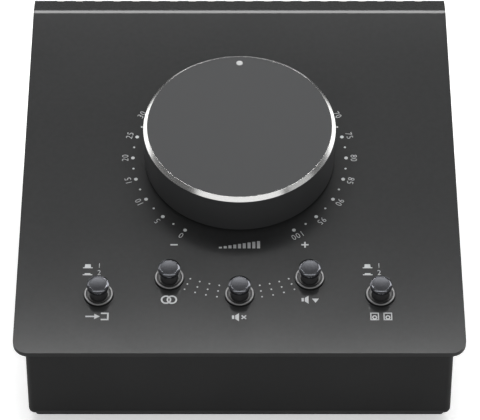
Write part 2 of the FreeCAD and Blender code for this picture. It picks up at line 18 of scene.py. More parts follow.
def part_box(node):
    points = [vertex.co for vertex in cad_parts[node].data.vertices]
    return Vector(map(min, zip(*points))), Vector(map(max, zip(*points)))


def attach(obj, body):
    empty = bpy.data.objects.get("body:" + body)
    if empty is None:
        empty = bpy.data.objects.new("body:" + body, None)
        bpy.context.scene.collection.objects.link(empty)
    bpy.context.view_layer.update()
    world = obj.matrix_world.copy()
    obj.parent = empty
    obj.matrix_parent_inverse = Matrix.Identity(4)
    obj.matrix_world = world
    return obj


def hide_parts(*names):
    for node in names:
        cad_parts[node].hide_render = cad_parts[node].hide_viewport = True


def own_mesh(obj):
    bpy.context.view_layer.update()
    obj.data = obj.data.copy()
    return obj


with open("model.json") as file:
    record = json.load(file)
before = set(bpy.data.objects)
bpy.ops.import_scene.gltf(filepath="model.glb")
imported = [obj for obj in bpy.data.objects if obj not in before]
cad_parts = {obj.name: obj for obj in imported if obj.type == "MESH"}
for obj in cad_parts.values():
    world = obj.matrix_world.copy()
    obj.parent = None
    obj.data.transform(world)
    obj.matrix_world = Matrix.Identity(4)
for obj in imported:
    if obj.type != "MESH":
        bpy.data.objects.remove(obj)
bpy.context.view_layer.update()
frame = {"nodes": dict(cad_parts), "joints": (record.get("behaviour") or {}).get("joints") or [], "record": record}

bl_info = {
    "name": "Monitor controller",
    "version": (1, 0, 0),
    "blender": (4, 5, 0),
    "location": "3D View > Sidebar > Controller",
    "description": "Models the outside of a desk-top monitor controller and its studio",
    "category": "Add Mesh",
}

MM = 0.001
X, Y, Z = range(3)
NEAR = 2e-6                     # two places closer than this count as one
FACING = 0.99                   # a face looks along an axis if its normal has this much of it
RISING = 0.1                    # a face looks upwards at all if its normal has this much of Z
CORE = 0.3                      # share of its radius where the flat middle of a round end begins
FINISH_NAME = "finish_%s"       # keeps these apart from the solid model's own plain materials

JOINTS = {joint["name"]: joint for joint in frame["joints"]}
HINGE = JOINTS["volume_turn"]
DIAL = Vector(HINGE["pos_m"])
SLOPE = math.atan2(HINGE["axis"][Y], -HINGE["axis"][Z])
PANEL = Matrix.Translation(DIAL) @ Matrix.Rotation(SLOPE, 4, "X")
UP_SLOPE = Vector((0, math.cos(SLOPE), math.sin(SLOPE)))
OUT = PANEL.col[Z].xyz
BUTTONS = ("source", "mono", "mute", "dim", "monitor")
JACKS = [(row, column) for row in ("upper", "lower") for column in range(1, 5)]
OUTWARDS_BACK = Matrix.Rotation(math.radians(-90), 4, "X")   # turns +Z to +Y


# Places read from the solid model
def corners(points):
    """Lowest and highest corner of the box round some points."""
    return [Vector([limit(point[axis] for point in points) for axis in (X, Y, Z)]) for limit in (min, max)]


def panel_reach(node):
    """Lowest and highest corner of a solid node in the panel's frame."""
    to_panel = PANEL.inverted()
    return corners([to_panel @ vertex.co for vertex in frame["nodes"][node].data.vertices])


def islands(node):
    """Lowest and highest corner of each separate solid in a node, in the row's frame."""
    mesh = bmesh.new()
    mesh.from_mesh(frame["nodes"][node].data)
    bmesh.ops.remove_doubles(mesh, verts=mesh.verts, dist=NEAR)
    waiting = set(mesh.verts)
    boxes = []
    while waiting:
        found = [waiting.pop()]
        for vertex in found:
            beside = {edge.other_vert(vertex) for edge in vertex.link_edges} & waiting
            waiting -= beside
            found += beside
        boxes.append(corners([vertex.co for vertex in found]))
    mesh.free()
    return sorted(boxes, key=lambda box: box[0].to_tuple(4))


def button_axis(button):
    """Where a button's axis meets the panel."""
    low, high = panel_reach(button + "_bezel")
    return Vector(((low.x + high.x) / 2, (low.y + high.y) / 2, 0))


def button_place(button):
    """The panel's own place, moved to a button's axis."""
    return PANEL @ Matrix.Translation(button_axis(button))


def facing_back(middle, y):
    """A place on the rear with its Z outwards."""
    return Matrix.Translation((middle.x, y, middle.z)) @ OUTWARDS_BACK


# Modelling by hand, in code
def only(piece):
    """Leave one object selected and active."""
    bpy.ops.object.select_all(action="DESELECT")
    piece.select_set(True)
    bpy.context.view_layer.objects.active = piece


def rename(piece, name):
    piece.name = name
    piece.data.name = name


def begin(name, primitive, **settings):
    """Add a primitive by its operator, and keep its place in its mesh."""
    bpy.ops.object.select_all(action="DESELECT")
    primitive(**settings)
    piece = bpy.context.object
    rename(piece, name)
    bpy.ops.object.transform_apply(location=True, rotation=True, scale=True)
    return piece


def block(name, low, high):
    """A box between two corners, to be shaped further."""
    low, high = Vector(low), Vector(high)
    return begin(name, bpy.ops.mesh.primitive_cube_add, size=1, location=(low + high) / 2, scale=high - low)


def circle(name, segments, radius, location=(0, 0, 0), **settings):
    """A circle about Z, to be filled or raised."""
    return begin(name, bpy.ops.mesh.primitive_circle_add, vertices=segments, radius=radius,
                 location=location, **settings)


def rod(radius, low, high, place=Matrix(), segments=48):
    """A round cutter about Z, carried to its place."""
    piece = begin("hole", bpy.ops.mesh.primitive_cylinder_add, vertices=segments, radius=radius,
                  depth=high - low, location=(0, 0, (low + high) / 2))
    settle(piece, place)
    return piece


@contextlib.contextmanager
def editing(piece):
    """Edit mode on one piece, with its whole mesh selected."""
    only(piece)
    bpy.ops.object.mode_set(mode="EDIT")
    take_all()
    yield
    bpy.ops.object.mode_set(mode="OBJECT")


def take_all():
    """In edit mode, select the whole mesh."""
    bpy.ops.mesh.select_all(action="SELECT")


def pick(kind, accepted):
    """In edit mode, select what a test accepts: vertices by their place, edges by their two ends, or
    faces by their corners and their normal."""
    bpy.ops.mesh.select_mode(type=kind)
    bpy.ops.mesh.select_all(action="DESELECT")
    data = bpy.context.object.data
    mesh = bmesh.from_edit_mesh(data)
    for vertex in mesh.verts if kind == "VERT" else ():
        vertex.select_set(accepted([vertex.co]))
    for edge in mesh.edges if kind == "EDGE" else ():
        edge.select_set(accepted([vertex.co for vertex in edge.verts]))
    for face in mesh.faces if kind == "FACE" else ():
        face.select_set(accepted([vertex.co for vertex in face.verts], face.normal))
    bmesh.update_edit_mesh(data)


def lie_at(points, axis, value):
    """Whether all points have this coordinate."""
    return all(abs(point[axis] - value) < NEAR for point in points)


def draw_out(way, extrude=bpy.ops.mesh.extrude_edges_move):
    """In edit mode, extrude the selected edges, or the region if that operator is given."""
    extrude(TRANSFORM_OT_translate={"value": way})


def face_outwards():
    """In edit mode, turn every face's front outwards."""
    take_all()
    bpy.ops.mesh.normals_make_consistent(inside=False)


def turned(name, outline, segments=64, capped=True):
    """Raise a ring through the (radius, height) points of an outline about Z. Its two ends are capped,
    or it is a closed ring if it ends where it began."""
    radius, height = outline[0]
    piece = circle(name, segments, radius, (0, 0, height))
    with editing(piece):
        if capped:
            bpy.ops.mesh.edge_face_add()
            pick("EDGE", lambda points: True)
        for new_radius, new_height in outline[1:]:
            draw_out((0, 0, new_height - height))
            bpy.ops.transform.resize(value=(new_radius / radius, new_radius / radius, 1),
                                     center_override=(0, 0, new_height))
            radius, height = new_radius, new_height
        if capped:
            bpy.ops.mesh.edge_face_add()
        take_all()
        bpy.ops.mesh.remove_doubles(threshold=NEAR)
        face_outwards()
    return piece


def rounded(corner, start, end, radius, steps=5):
    """Points of an arc about a corner point, from one angle to another in degrees, as (radius, height)."""
    angles = [math.radians(start + (end - start) * i / steps) for i in range(steps + 1)]
    return [(corner[0] + radius * math.cos(angle), corner[1] + radius * math.sin(angle)) for angle in angles]


def shape_with(piece, kind, **settings):
    """Give a piece a modifier and apply it."""
    only(piece)
    modifier = piece.modifiers.new(kind.title(), kind)
    for name, value in settings.items():
        setattr(modifier, name, value)
    bpy.ops.object.modifier_apply(modifier=modifier.name)


def cut(piece, cutter, operation="DIFFERENCE"):
    """Cut a piece with another, or join the two into one skin, and delete the other."""
    shape_with(piece, "BOOLEAN", object=cutter, operation=operation, solver="EXACT")
    bpy.data.objects.remove(cutter)


def thicken(piece, thickness):
    """Give a folded surface the thickness of its sheet, inwards."""
    shape_with(piece, "SOLIDIFY", thickness=thickness, offset=-1, use_even_offset=True)


def joined(pieces):
    """One object out of several."""
    only(pieces[0])
    for piece in pieces:
        piece.select_set(True)
    bpy.ops.object.join()
    return pieces[0]


def soften(piece, width, segments=2, angle=30, beyond=15):
    """Round the edges sharper than an angle, and shade those within a few degrees of it smooth, with
    the flat faces kept flat."""
    shape_with(piece, "BEVEL", width=width, segments=segments, limit_method="ANGLE",
               angle_limit=math.radians(angle), use_clamp_overlap=True)
    only(piece)
    bpy.ops.object.shade_smooth_by_angle(angle=math.radians(angle + beyond))
    shape_with(piece, "WEIGHTED_NORMAL", keep_sharp=True)


def settle(piece, place=Matrix()):
    """Carry a mesh to its place and leave its object at the origin. The mesh keeps its shape's own
    coordinates from before as an attribute, which finishes that follow the piece's axis read."""
    mesh = piece.data
    if "own_place" not in mesh.attributes:
        own = mesh.attributes.new("own_place", "FLOAT_VECTOR", "POINT")
        own.data.foreach_set("vector", [c for vertex in mesh.vertices for c in vertex.co])
    piece.matrix_world = place @ piece.matrix_world
    only(piece)
    bpy.ops.object.transform_apply(location=True, rotation=True, scale=True)


def copied(piece, name, place):
    """A copy with its own mesh, carried to its place."""
    only(piece)
    bpy.ops.object.duplicate(linked=False)
    copy = bpy.context.object
    rename(copy, name)
    settle(copy, place)
    return copy


def dress(piece, body, slot, *nodes, finish=None):
    """Give a piece its finish, named by its slot unless another is given, and its body, and hide the solid nodes
    that it stands for.
    """
    if not piece.data.materials:
        piece.data.materials.append(material(finish or slot))
    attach(piece, body)
    if nodes:
        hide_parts(*nodes)


def dress_row(pattern, name, places, slot, node):
    """Dress a numbered copy of a piece of the case at each place, and delete the pattern."""
    for i, place in enumerate(places, start=1):
        dress(copied(pattern, "%s_%d" % (name, i), place), "case", slot, node)
    bpy.data.objects.remove(pattern)


def recoat(piece, main, **others):
    """Give a piece its main finish, and each other finish to the faces that its test accepts."""
    piece.data.materials.append(material(main))
    for i, (name, accepted) in enumerate(others.items(), start=1):
        piece.data.materials.append(material(name))
        with editing(piece):
            pick("FACE", accepted)
            piece.active_material_index = i
            bpy.ops.object.material_slot_assign()


# Finishes
class Finish:
    """A material whose shader takes plain values, and masks from patterns over a place."""

    def __init__(self, name, **sockets):
        self.material = bpy.data.materials.new(FINISH_NAME % name)
        self.material.use_nodes = True
        self.tree = self.material.node_tree
        self.shader = self.tree.nodes["Principled BSDF"]
        for label, value in sockets.items():
            self.shader.inputs[label.replace("_", " ")].default_value = value

    def feed(self, socket, value):
        """Link a socket to another node's output, or give it a plain value."""
        if isinstance(value, bpy.types.NodeSocket):
            self.tree.links.new(value, socket)
        else:
            socket.default_value = value

    def add(self, kind, sockets, **settings):
        """Add a node with its settings, and feed its sockets by name or number."""
        node = self.tree.nodes.new("ShaderNode" + kind)
        for name, value in settings.items():
            setattr(node, name, value)
        for key, value in sockets.items():
            self.feed(node.inputs[key], value)
        return node.outputs

    def math(self, operation, *values):
        return self.add("Math", dict(enumerate(values)), operation=operation)[0]

    def vector(self, operation, vector, factor=1.0):
        return self.add("VectorMath", {0: vector, 3: factor}, operation=operation)

    def spread(self, value, low, high, from_low=0.0, from_high=1.0):
        """Carry a value from one span to another."""
        return self.add("MapRange", {0: value, 1: from_low, 2: from_high, 3: low, 4: high})[0]

    def noise(self, place, detail, roughness=0.5, scale=1.0, along="Vector", dimensions="3D"):
        sockets = {along: place, "Scale": scale, "Detail": detail, "Roughness": roughness}
        return self.add("TexNoise", sockets, noise_dimensions=dimensions)[0]

    def from_axis(self, place):
        """The part of a place that is square to Z, and its height along Z."""
        x, y, z = self.add("SeparateXYZ", {0: place})
        return self.add("CombineXYZ", {0: x, 1: y})[0], z

    def grain(self, place, size):
        """Fine even grain, as of powder coat or moulded plastic: its height and its shade."""
        grains = self.vector("SCALE", place, 1 / size)[0]
        fine = self.noise(grains, 3.0, 0.6)
        coarse = self.noise(grains, 1.0, scale=0.17)
        return fine, self.spread(self.math("ADD", fine, coarse), 0.0, 1.0, 0.6, 1.4)

    def handling(self, place, size):
        """Broad faint patches where fingers and cloths have been."""
        patches = self.noise(self.vector("SCALE", place, 1 / size)[0], 4.0, 0.55)
        return self.spread(patches, 0.0, 1.0, 0.35, 0.65)

    def turning_marks(self, place, pitch):
        """Rings that a cutting tool leaves about Z: their height and their shade."""
        flat, height = self.from_axis(place)
        radius = self.vector("LENGTH", flat)["Value"]
        across = self.math("DIVIDE", self.math("SUBTRACT", radius, height), pitch)
        rings = self.noise(across, 2.0, along="W", dimensions="1D")
        bands = self.noise(across, 1.0, scale=0.13, along="W", dimensions="1D")
        return rings, self.spread(bands, 0.0, 1.0, 0.3, 0.7)

    def sheen_streaks(self, place, count):
        """Painted sheen: light and dark streaks in the colour that fan out from Z, in place of the reflections on
        turned metal in a soft light.
        """
        way = self.vector("NORMALIZE", self.from_axis(place)[0])[0]
        return self.spread(self.noise(self.vector("SCALE", way, count)[0], 4.0, 0.65), 0.0, 1.0, 0.3, 0.7)

    def place(self):
        """The piece's place in the row's frame."""
        return self.add("TexCoord", {})["Object"]

    def colour(self, mask, low, high):
        """Base colour that goes from low to high with a mask."""
        mix = self.add("Mix", {0: mask, 6: (*low, 1), 7: (*high, 1)}, data_type="RGBA")
        self.feed(self.shader.inputs["Base Color"], mix[2])

    def surface(self, mask, middle, patchy, height, depth):
        """Roughness that varies about a middle with a mask, and a bump of a depth in mm."""
        roughness = self.spread(mask, middle - patchy, middle + patchy)
        bump = self.add("Bump", {"Height": height, "Distance": depth * MM, "Strength": 1.0})
        self.feed(self.shader.inputs["Roughness"], roughness)
        self.feed(self.shader.inputs["Normal"], bump[0])


def shades(colour, spread):
    """A colour made darker and lighter by a share of itself."""
    return [c * (1 - spread) for c in colour], [c * (1 + spread) for c in colour]


def coated(name, colour, grain_size, depth, roughness, spread=0.08, patchy=0.03, **sockets):
    """Powder coat or moulded plastic: an even grain, with faint patches in its gloss. Lengths in mm."""
    finish = Finish(name, **sockets)
    place = finish.place()
    height, shade = finish.grain(place, grain_size * MM)
    finish.colour(shade, *shades(colour, spread))
    finish.surface(finish.handling(place, 18 * MM), roughness, patchy, height, depth)
    return finish


def machined(name, colour, pitch, depth, roughness, spread=0.08, streaks=12.0, patchy=0.04, **sockets):
    """Turned metal about the piece's own axis: tool rings in its gloss and relief, and streaks of painted sheen in
    its colour. Lengths in mm.
    """
    finish = Finish(name, **{"Metallic": 1.0, **sockets})
    place = finish.add("Attribute", {}, attribute_name="own_place")["Vector"]
    height, rings = finish.turning_marks(place, pitch * MM)
    # painted sheen: streaks that lighten and darken the base colour by a share of spread
    finish.colour(finish.sheen_streaks(place, streaks), *shades(colour, spread))
    finish.surface(rings, roughness, patchy, height, depth)
    return finish


def plated(name, colour, roughness, spread=0.1, patchy=0.05):
    """Plated or drawn metal on a piece of any shape: a soft mottle in colour and gloss."""
    finish = Finish(name, Metallic=1.0)
    place = finish.place()
    mottle = finish.handling(place, 3 * MM)
    finish.colour(mottle, *shades(colour, spread))
    finish.surface(mottle, roughness, patchy, finish.grain(place, 0.15 * MM)[0], 0.002)
    return finish


def circuit_board(name, resist, over_copper, track_width=0.35, pad_pitch=2.54, track_length=7.4):
    """Green solder resist over copper tracks. Lengths in mm."""
    finish = Finish(name, Coat_Weight=0.3, Coat_Roughness=0.15)
    place = finish.place()
    tracks = finish.add("TexBrick", {"Vector": place, "Scale": 1.0, "Mortar Size": track_width * MM,
                                     "Brick Width": track_length * MM, "Row Height": pad_pitch * MM})["Fac"]
    finish.colour(tracks, resist, over_copper)
    finish.surface(finish.handling(place, 9 * MM), 0.4, 0.05, tracks, 0.03)
    return finish


def ribbon_cable(name, between, on_wire, wire_pitch=1.27):
    """A flat cable whose wires show as ribs along it. Lengths in mm."""
    finish = Finish(name)
    place = finish.place()
    across = finish.add("SeparateXYZ", {0: place})[X]
    ribs = finish.math("SINE", finish.math("MULTIPLY", across, 2 * math.pi / (wire_pitch * MM)))
    mask = finish.spread(ribs, 0.0, 1.0, -1.0, 1.0)
    finish.colour(mask, between, on_wire)
    finish.surface(finish.handling(place, 6 * MM), 0.485, 0.065, mask, 0.2)
    return finish


# Each finish's maker and its colour, or the name of its colour in the settings, with the maker's values
FINISHES = {
    "cover_paint": (coated, "cover", 0.22, 0.0008, 0.14, {"patchy": 0.004}),
    # painted shade: the cover's own powder coat in a darker colour, on the case walls, the rear panel and the
    # cover's cut edges
    "case_paint": (coated, "case", 0.22, 0.006, 0.55, {"Specular_IOR_Level": 0.2}),
    "plate_paint": (coated, "plate", 0.3, 0.01, 0.6, {"Specular_IOR_Level": 0.2}),
    # the turned metals below carry painted sheen in their colour: spread is its depth, and the count after it is
    # the number of streaks
    "knob_metal": (machined, "knob", 0.12, 0.001, 0.55, 0.02, 3.0,
                   {"Metallic": 0.25, "Specular_IOR_Level": 0.1}),
    "cut_metal": (machined, "cut_edge", 0.09, 0.0001, 0.18, 0.08, 14.0),
    "cap_chrome": (machined, "cap", 0.15, 0.00001, 0.12, 0.06, 2.5, 0.006),
    # painted shade: the caps' top faces get this darker, rougher copy of their plating
    "cap_face": (machined, "cap_face", 0.15, 0.00001, 0.24, 0.06, 2.5, 0.006),
    "bezel_metal": (machined, "bezel", 0.11, 0.001, 0.4, 0.08, 9.0),
    # painted light and shade: the bezel's lip and collar get lighter copies of its metal, and its flanks and
    # groove keep the darker one
    "bezel_collar": (machined, "bezel_collar", 0.11, 0.001, 0.45, 0.08, 9.0, {"Metallic": 0.7}),
    "bezel_ring": (machined, "bezel_ring", 0.11, 0.001, 0.45, 0.08, 9.0, {"Metallic": 0.7}),
    "pointer_white": (coated, (0.55, 0.555, 0.555), 0.2, 0.004, 0.4),
    "panel_ink": (coated, "ink", 0.25, 0.003, 0.5, 0.05),
    "black_plastic": (coated, (0.012, 0.012, 0.013), 0.25, 0.006, 0.4),
    "switch_plastic": (coated, (0.03, 0.03, 0.034), 0.25, 0.006, 0.45),
    # painted light: the button stems' black plastic made lighter, where they stand in shade under the caps
    "stem_plastic": (coated, (0.05, 0.05, 0.052), 0.25, 0.006, 0.5),
    "wiper_plastic": (coated, (0.3, 0.12, 0.04), 0.4, 0.006, 0.5, 0.2),
    "track_carbon": (coated, (0.012, 0.012, 0.012), 0.1, 0.004, 0.5, 0.2),
    "foot_rubber": (coated, (0.012, 0.012, 0.012), 0.35, 0.02, 0.75, 0.2),
    "zinc_steel": (plated, (0.55, 0.56, 0.58), 0.3),
    "black_steel": (plated, (0.045, 0.045, 0.05), 0.38),
    "spring_steel": (plated, (0.5, 0.5, 0.52), 0.25),
    "brass": (plated, (0.72, 0.5, 0.2), 0.28),
    "circuit_board": (circuit_board, (0.006, 0.05, 0.02), (0.012, 0.1, 0.035)),
    "ribbon_grey": (ribbon_cable, (0.25, 0.25, 0.27), (0.42, 0.42, 0.45)),
}


def material(name):
    """The finish of this name, made on its first use."""
    made = bpy.data.materials.get(FINISH_NAME % name)
    if made:
        return made
    maker, colour, *values = FINISHES[name]
    if isinstance(colour, str):
        colour = getattr(bpy.context.scene.controller_colours, colour)
    others = values.pop() if isinstance(values[-1], dict) else {}
    return maker(name, colour, *values, **others).material


# Sizes and colours that a user may change
def length(millimetres, description):
    return bpy.props.FloatProperty(description=description, default=millimetres * MM, min=0.0,
                                   precision=5, unit="LENGTH")


def turn_angle(degrees, description):
    return bpy.props.FloatProperty(description=description, default=math.radians(degrees),
                                   precision=3, unit="ROTATION")


def colour(default, description):
    return bpy.props.FloatVectorProperty(description=description, default=default, min=0.0, max=1.0,
                                         subtype="COLOR")


def count(default, description):
    return bpy.props.IntProperty(description=description, default=default, min=1)


def level(default, description):
    return bpy.props.FloatProperty(description=description, default=default, min=0.0, subtype="FACTOR")


def named(group):
    """Name each property in the panel after its identifier."""
    for identifier, prop in group.__annotations__.items():
        prop.keywords["name"] = identifier.replace("_", " ").capitalize()
    return group


@named
class CoverSizes(bpy.types.PropertyGroup):
    """Sizes of the folded sheets, the screws and the feet."""

    sheet: length(1.5, "Thickness of the cover's steel")
    corner: length(4, "Radius of the two front corners")
    bend_place: length(54.1, "From the dial's centre up the slope to the rear bend")
    bend_radius: length(6.5, "Outer radius of the bend behind the panel")
    strip: length(7.3, "Length of the strip between the two bends")
    strip_drop: turn_angle(4, "How far the strip slopes down to the rear")
    apron_radius: length(2, "Outer radius of the bend above the apron")
    apron_overlap: length(3, "How far the rear panel reaches up behind the apron")
    vents: count(20, "Number of slots along the apron")
    vent_width: length(2.1, "Width of one slot")
    vent_height: length(8.6, "From the upper bend's level to a slot's lower end")
    vent_margin: length(7.27, "From the cover's side to the middle of the first slot")
    hole_gap: length(0.1, "Clearance round what passes through the panel")
    washer_ring: length(2.4, "Width of the washer round the dial's bushing")
    edge: length(0.14, "Rounding of the cover's cut edges")
    case_sheet: length(1.2, "Thickness of the case's steel")
    case_bend: length(1.6, "Outer radius of the case's folds")
    case_flange: length(10, "Width of the flanges under the case")
    case_edge: length(0.1, "Rounding of the case's and the base plate's cut edges")
    plate_corner: length(1, "Radius of the base plate's corners")
    rear_sheet: length(1.5, "Thickness of the rear panel")
    rear_edge: length(0.15, "Rounding of the rear panel's cut edges")
    tongue_gap: length(0.3, "From the rear panel's tongue to the flanges beside it")
    head_radius: length(2.8, "Radius of the pan heads")
    head_height: length(1.4, "Height of the pan heads")
    head_edge: length(0.06, "Rounding of the pan heads' edges")
    screw_radius: length(1.5, "Radius of the threads")
    recess_length: length(3.2, "Length of each arm of the cross recess")
    recess_width: length(0.8, "Width of the cross recess")
    recess_depth: length(0.8, "Depth of the cross recess")
    foot_edge: length(0.12, "Rounding of the rubber feet's edges")


@named
class KnobSizes(bpy.types.PropertyGroup):
    """Sizes of the volume knob."""

    chamfer: length(1, "Width of the bright cut edge")
    rim: length(0.4, "Straight part below the chamfer")
    step: length(0.1, "How far the skirt stands back from the rim")
    wall: length(2, "Thickness of the skirt")
    top_wall: length(3, "Thickness of the knob's top")
    hub_radius: length(7.5, "Outer radius of the hub")
    hub_low: length(4, "Height of the hub's lower end above the panel")
    bore_radius: length(3.05, "Radius of the hole for the spindle")
    bore_top: length(10.25, "Height of the bore's upper end above the panel")
    access_radius: length(1.6, "Radius of the hole for the key of the set screw")
    dimple_depth: length(0.6, "Depth of the hole that the pointer's paint fills")
    edge: length(0.02, "Rounding of the knob's cut edges")


@named
class ButtonSizes(bpy.types.PropertyGroup):
    """Sizes of the push buttons and their bezels."""

    cap_radius: length(2.9, "Outer radius of the cap")
    cap_rim: length(0.6, "Width of the chamfer round the cap's top")
    cap_drop: length(0.24, "Height of that chamfer")
    cap_edge: length(0.95, "Height of the cap's straight edge")
    cap_dish: length(0.07, "How far the top's middle lies below its edge")
    stem_radius: length(2.2, "Radius of the stem under the cap")
    spigot_radius: length(1.45, "Radius of the hole in the cap")
    spigot_height: length(1, "Depth of the hole in the cap")
    cap_rounding: length(0.02, "Rounding of the cap's edges")
    bezel_top: length(3.75, "Outer radius of the bezel's lip")
    lip: length(3.2, "Inner radius of the bezel's lip")
    lip_rounding: length(0.22, "Rounding of the lip's two edges")
    groove: length(0.6, "Depth of the groove inside the lip")
    collar: length(2.75, "Outer radius of the collar round the stem")
    collar_drop: length(0.4, "How far the collar lies below the lip")
    bezel_bore: length(2.28, "Radius of the hole for the stem")
    tube: length(3.3, "Radius of the bezel below the panel")
    bezel_rounding: length(0.07, "Rounding of the bezel's edges")
    spring_wire: length(0.2, "Radius of the return springs' wire")
    spring_turn: turn_angle(1260, "How far round a return spring's wire goes")


@named
class PrintSizes(bpy.types.PropertyGroup):
    """Sizes of what is printed on the panels."""

    ink: length(0.02, "Thickness of the print")
    dot_circle: length(28.73, "Radius of the dial's circle of dots")
    large_dot: length(0.5, "Radius of the dots that have a number")
    small_dot: length(0.29, "Radius of the dots between those")
    number_circle: length(30.7, "Radius of the circle through the numbers' middles")
    number_height: length(1.85, "Height of the dial's numbers")
    number_width: level(0.88, "Width of the numbers against the typeface's own")
    number_spacing: level(1.14, "From digit to digit against the typeface's own")
    number_thinning: length(0.02, "How far the numbers' strokes are thinned")
    number_step: count(5, "What one large dot adds to the number")
    number_top: count(100, "The highest number")
    arc_dot: length(0.22, "Radius of the dots between the buttons")
    arc_middle: length(10.55, "From the dial's centre down to the middle of those rows")
    arc_first: length(33.09, "Radius of the innermost row of those dots")
    arc_row: length(1.87, "From one row of those dots to the next")
    arc_start: turn_angle(9.13, "From straight down to the first column")
    arc_step: turn_angle(4.546, "From one column to the next")
    stroke: length(0.42, "Width of the lines in the symbols")
    rear_height: length(1.9, "Height of the numbers on the rear panel")
    rear_gap: length(1.5, "From a nut down to the middle of its number")


@named
class SocketSizes(bpy.types.PropertyGroup):
    """Sizes of the jack sockets."""

    thread: length(5.5, "Outer radius of the threaded nose")
    thread_pitch: length(0.75, "From one ridge to the next")
    thread_depth: length(0.3, "Depth of the thread")
    bore: length(3.25, "Radius of the plug's hole")
    bore_length: length(31, "Depth of the plug's hole")
    mouth: length(0.5, "Chamfer at the plug's hole")
    socket_edge: length(0.05, "Rounding of the sockets' edges")
    nut_key: length(14, "Across the flats of the nuts")
    nut_chamfer: length(0.5, "Chamfer of the nuts' corners")
    nut_face: length(0.3, "How far inside the flats that chamfer ends")
    nut_gap: length(0.05, "Clearance between a nut and its thread")
    nut_edge: length(0.08, "Rounding of the nuts' edges")


@named
class Colours(bpy.types.PropertyGroup):
    """Colours of the finishes that show most."""

    cover: colour((0.0345, 0.0353, 0.0357), "Powder coat of the cover")
    # painted shade: the case's colour is the cover's powder coat made darker
    case: colour((0.0135, 0.0138, 0.014), "Powder coat of the case and the rear panel")
    plate: colour((0.008, 0.008, 0.0085), "Powder coat of the base plate")
    knob: colour((0.067, 0.068, 0.0695), "Anodised aluminium of the knob")
    cut_edge: colour((0.74, 0.74, 0.73), "Bright chamfer of the knob")
    cap: colour((0.23, 0.235, 0.255), "Plated button caps")
    # painted shade: the caps' top faces get a darker, rougher copy of the plating that the rest of each cap has
    cap_face: colour((0.04, 0.041, 0.0445), "Brushed top of the caps")
    # painted light and shade: one turned metal, darker on the bezels' flanks and groove and lighter on the upward
    # faces of their lip and collar
    bezel: colour((0.05, 0.05, 0.05), "Turned bezels of the buttons")
    bezel_ring: colour((0.25, 0.25, 0.25), "Bright lip of the bezels")
    bezel_collar: colour((0.095, 0.095, 0.095), "Collar inside the bezels")
    ink: colour((0.56, 0.57, 0.58), "Print on the panel")


@named
class StudioSettings(bpy.types.PropertyGroup):
    """The lamps, the floor and the camera."""

    key_level: level(10.5, "Brightness of the card above and behind")
    key_angle: turn_angle(77, "From the rear up to the middle of that card")
    back_level: level(6.4, "Brightness of the low card behind")
    back_angle: turn_angle(45, "From the rear up to the middle of the low card")
    front_level: level(0.95, "Brightness of the card in front")
    top_level: level(1.3, "Brightness of the card above and in front")
    rim_level: level(1.9, "Brightness of the cards behind at the sides")
    fill_level: level(0.5, "Brightness of the small card at the right")
    side_level: level(1.1, "Brightness of the cards beside the object")
    world_level: level(0.14, "Light from all round")
    floor_width: length(8000, "Width of the floor between its backdrops")
    backdrop: length(1200, "Height to which the floor sweeps up on every side")
    floor_glow: level(0.5, "White added where the floor is seen")
    floor_colour: colour((0.8, 0.8, 0.8), "Colour of the floor")
    camera_lens: bpy.props.FloatProperty(description="Focal length", default=208.95, min=1.0, unit="CAMERA")
    camera_tilt: turn_angle(37.5, "How far the camera looks down")
    camera_side: length(0.13, "Camera to the right of the dial")
    camera_back: length(604.18, "Camera in front of the dial's centre")
    camera_up: length(445.93, "Camera above the dial's centre")


# The folded sheets
def vent_cutter(sizes, apron_y, apron_z, nearly=0.999):
    """All the slots' openings: one with a round lower end, repeated along the apron."""
    low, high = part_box("top_cover")
    half = sizes.vent_width / 2
    foot = apron_z - sizes.vent_height
    first = low.x + sizes.vent_margin
    slot = block("vent", (first - half, apron_y - sizes.sheet - sizes.hole_gap, foot),
                 (first + half, apron_y + sizes.sheet, apron_z + sizes.sheet))
    with editing(slot):
        pick("EDGE", lambda points: lie_at(points, Z, foot) and lie_at(points, X, points[0].x))
        bpy.ops.mesh.bevel(offset=half * nearly, segments=6)
    pitch = (high.x - low.x - 2 * sizes.vent_margin) / (sizes.vents - 1)
    shape_with(slot, "ARRAY", count=sizes.vents, use_relative_offset=False, use_constant_offset=True,
               constant_offset_displace=(pitch, 0, 0))
    return slot


